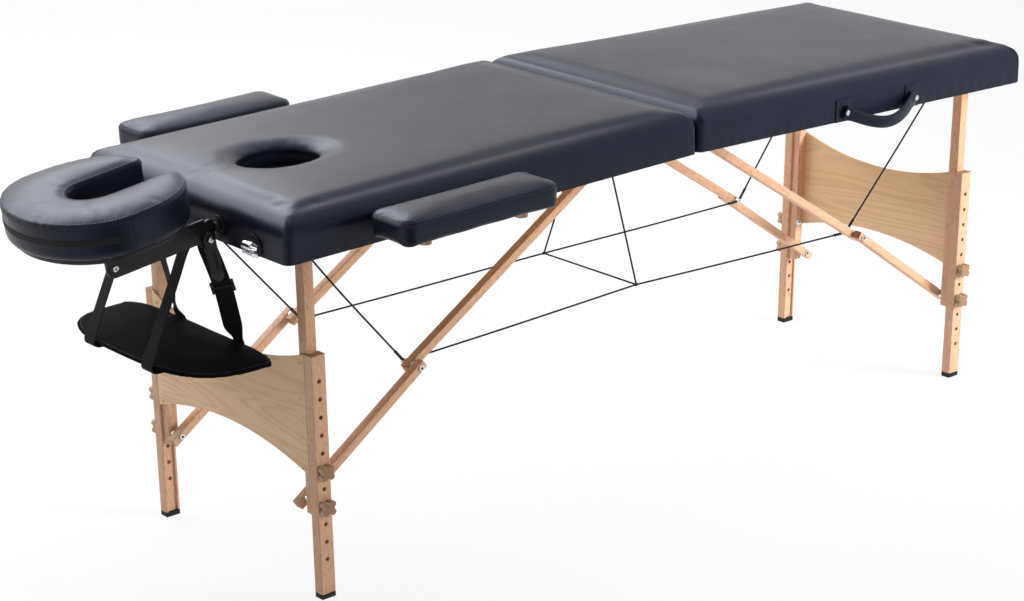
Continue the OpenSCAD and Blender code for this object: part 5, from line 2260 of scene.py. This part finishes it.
@dataclass(frozen=True)
class Hardware:
    """Screws of the bowed panels and the bright pins of the face rest."""

    leg_x: float = PLAN.leg_x
    leg_half: float = 0.010
    panel_t: float = 0.005
    seat: float = 0.0001
    screw_y: float = 0.2144
    top: float = 0.189
    deep: float = 0.2205
    rows: tuple[float, ...] = (0.09, 0.38, 0.7, 0.955)
    rod: tuple[float, float] = PLAN.rod
    tilt: float = PLAN.tilt
    plate_screw: Triple = (0.179, -0.1139, 0.011)
    pin_y: float = -0.1251

    def fit(
        self, spots: Sequence[Matrix], kind: Fastener, name: str, body: str, old: Sequence[str] = (),
    ) -> None:
        """Fits one kind of head at each spot.

        Args:
            spots: Where each goes.
            kind: The kind of head.
            name: Name of the heads' piece.
            body: Body that they ride on.
            old: CAD nodes replaced.
        """
        heads, recess_shades = Form(), Form()
        for spot in spots:
            kind.add(heads, recess_shades, spot)
        piece(heads, name, kind.finish, body, old, 30)
        piece(recess_shades, f"{name}_recesses", PAINTED_SHADE, body)

    def build(self) -> None:
        """Fits them all."""
        x = self.leg_x + self.leg_half + self.panel_t + self.seat
        for end in End:
            name, spots = end.name.lower(), []
            outward = Matrix.Rotation(end.value * QUARTER, 4, "Y")
            for i, share in enumerate(self.rows):
                for y in (-self.screw_y, self.screw_y):
                    at = HalfFrame(end).at(x, y, -self.top - share * self.deep)
                    spin = Matrix.Rotation(0.5 + 1.3 * i + 9 * y, 4, "Z")
                    spots.append(Matrix.Translation(at) @ outward @ spin)
            self.fit(spots, PANEL_SCREW, f"{name}_screw_heads", f"{name}_legs", (f"{name}_panel_screws",))
        place = HalfFrame(End.HEAD)
        at = place.tilted(*self.rod, self.tilt) @ Vector(self.plate_screw)
        self.fit([turned_at(at, QUARTER, "X")], PLATE_SCREW, "plate_screw", "headrest")
        at = place.at(self.rod[0], self.pin_y, self.rod[1])
        self.fit([turned_at(at, QUARTER, "X")], ROD_CAP, "rod_cap", "headrest_mount")


# ---------------------------------------------------------------- studio


@dataclass(frozen=True)
class Studio:
    """Pale floor, white surroundings, soft lamps and the photograph's camera."""

    floor_half: float = 40.0
    floor_colour: Colour = (0.86, 0.86, 0.87)
    glow: float = 0.86
    eye: Triple = (-3.1083, -3.5496, 1.9208)
    yaw: float = math.radians(40.87)
    pitch: float = math.radians(18.65)
    roll: float = math.radians(-0.27)
    lens: float = 91.42
    fill: float = 0.25
    lamp_colour: Colour = (0.93, 0.96, 1.0)
    lamps: tuple[tuple[str, Triple, Triple, tuple[float, float], float, float], ...] = (
        ("key", (2.7, -3.0, 1.7), (0.85, 0.0, 0.4), (1.6, 1.6), 26.0, 50.0),
        ("top", (0.4, 0.4, 4.6), (0.1, 0.0, 0.5), (4.0, 3.5), 100.0, 180.0),
        ("back", (-0.95, 3.8, 3.75), (-0.95, 0.0, 0.7), (6.2, 2.6), 260.0, 180.0),
    )
    flags: tuple[tuple[str, Triple, Triple, tuple[float, float]], ...] = (
        ("flag_front", (-1.0, -3.6, 3.3), (0.0, 0.0, 0.7), (7.0, 2.6)),
        ("flag_rest", (-1.9, -2.3, 0.006), (-1.9, -2.3, 1.0), (2.4, 2.4)),
    )

    def panel(
        self, name: str, half: float, place: Matrix, material: bpy.types.Material,
    ) -> bpy.types.Object:
        """Makes a flat square that isn't part of the object.

        Args:
            name: Object name.
            half: Half its side, before it is placed.
            place: Its frame.
            material: Its material.

        Returns:
            The object.
        """
        form = Form()
        bmesh.ops.create_grid(form.bm, x_segments=1, y_segments=1, size=half)
        form.place(place)
        mesh = form.mesh(name)
        mesh.materials.append(material)
        made = linked(name, mesh)
        return made

    def black_flags(self) -> None:
        """Black panels that only reflections see: they shade the rounded edges."""
        s = Shader("Black flag")
        s.add_output(s.add("ShaderNodeBsdfDiffuse", {}, {"Color": (0.01, 0.01, 0.01)}))
        for name, place, aim, size in self.flags:
            made = self.panel(name, 0.5, aimed(place, aim) @ Matrix.Diagonal((*size, 1.0, 1.0)), s.material)
            for ray in ("camera", "diffuse", "shadow", "transmission"):
                setattr(made, f"visible_{ray}", False)

    @staticmethod
    def seen(shader: Shader) -> Socket:
        """One for camera, glossy and transmission rays, else zero.

        Args:
            shader: The tree that asks.

        Returns:
            The sum of the three.
        """
        camera = shader.add("ShaderNodeLightPath", output="Is Camera Ray")
        node = camera.output.node
        glossy = Socket(shader, node.outputs["Is Glossy Ray"])
        through = Socket(shader, node.outputs["Is Transmission Ray"])
        return (camera + glossy + through).clamped()

    def floor(self) -> None:
        """A pale floor that keeps the object's shadow."""
        s = Shader("Pale floor")
        cloth = s.add("ShaderNodeBsdfDiffuse", {}, {"Color": self.floor_colour})
        glow = s.add("ShaderNodeEmission", {}, {"Color": (1.0, 1.0, 1.0), "Strength": 1.0})
        mix = s.add("ShaderNodeMixShader", {}, {0: self.seen(s) * self.glow, 1: cloth, 2: glow})
        s.add_output(mix)
        self.panel("floor", self.floor_half, Matrix(), s.material)

    def world(self) -> None:
        """White surroundings for the camera and reflections, a dimmer fill for the light."""
        world = bpy.data.worlds.new("Studio")
        bpy.context.scene.world = world
        s = Shader("Studio", world)
        white = self.seen(s)
        strength = white + (1 - white) * self.fill
        back = s.add("ShaderNodeBackground", {}, {"Color": (1.0, 1.0, 1.0), "Strength": strength})
        s.add_output(back, "ShaderNodeOutputWorld")

    def light(self) -> None:
        """Soft area lamps."""
        for name, place, aim, size, power, spread in self.lamps:
            lamp = bpy.data.lights.new(name, "AREA")
            lamp.shape = "RECTANGLE"
            lamp.size, lamp.size_y = size
            lamp.energy = power
            lamp.spread = math.radians(spread)
            lamp.color = self.lamp_colour
            made = linked(name, lamp)
            made.matrix_world = aimed(place, aim, "-Z")
            made.visible_camera = False
            made.visible_glossy = name == "back"

    def camera(self) -> None:
        """The photograph's view."""
        data = bpy.data.cameras.new("photo")
        data.lens = self.lens
        data.sensor_width = 36.0
        data.sensor_fit = "HORIZONTAL"
        data.clip_end = 200.0
        made = linked("photo", data)
        made.matrix_world = (
            Matrix.Translation(self.eye) @ Matrix.Rotation(-self.yaw, 4, "Z")
            @ Matrix.Rotation(QUARTER - self.pitch, 4, "X") @ Matrix.Rotation(self.roll, 4, "Z"))
        bpy.context.scene.camera = made

    def build(self) -> None:
        """Sets everything up."""
        self.floor()
        self.world()
        self.light()
        self.black_flags()
        self.camera()
        bpy.context.scene.view_settings.view_transform = "Standard"


def main() -> None:
    """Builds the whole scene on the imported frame."""
    logging.basicConfig(level=logging.INFO, format="%(name)s %(message)s")
    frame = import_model()
    Carcass(frame).build()
    for end in End:
        TableTop(end).build()
    FaceRest().build()
    ArmSling().build()
    for side in Side:
        Armrest(side).build()
    CarryHandle().build()
    Cables().build()
    Hardware().build()
    Studio().build()


if __name__ == "__main__":
    main()
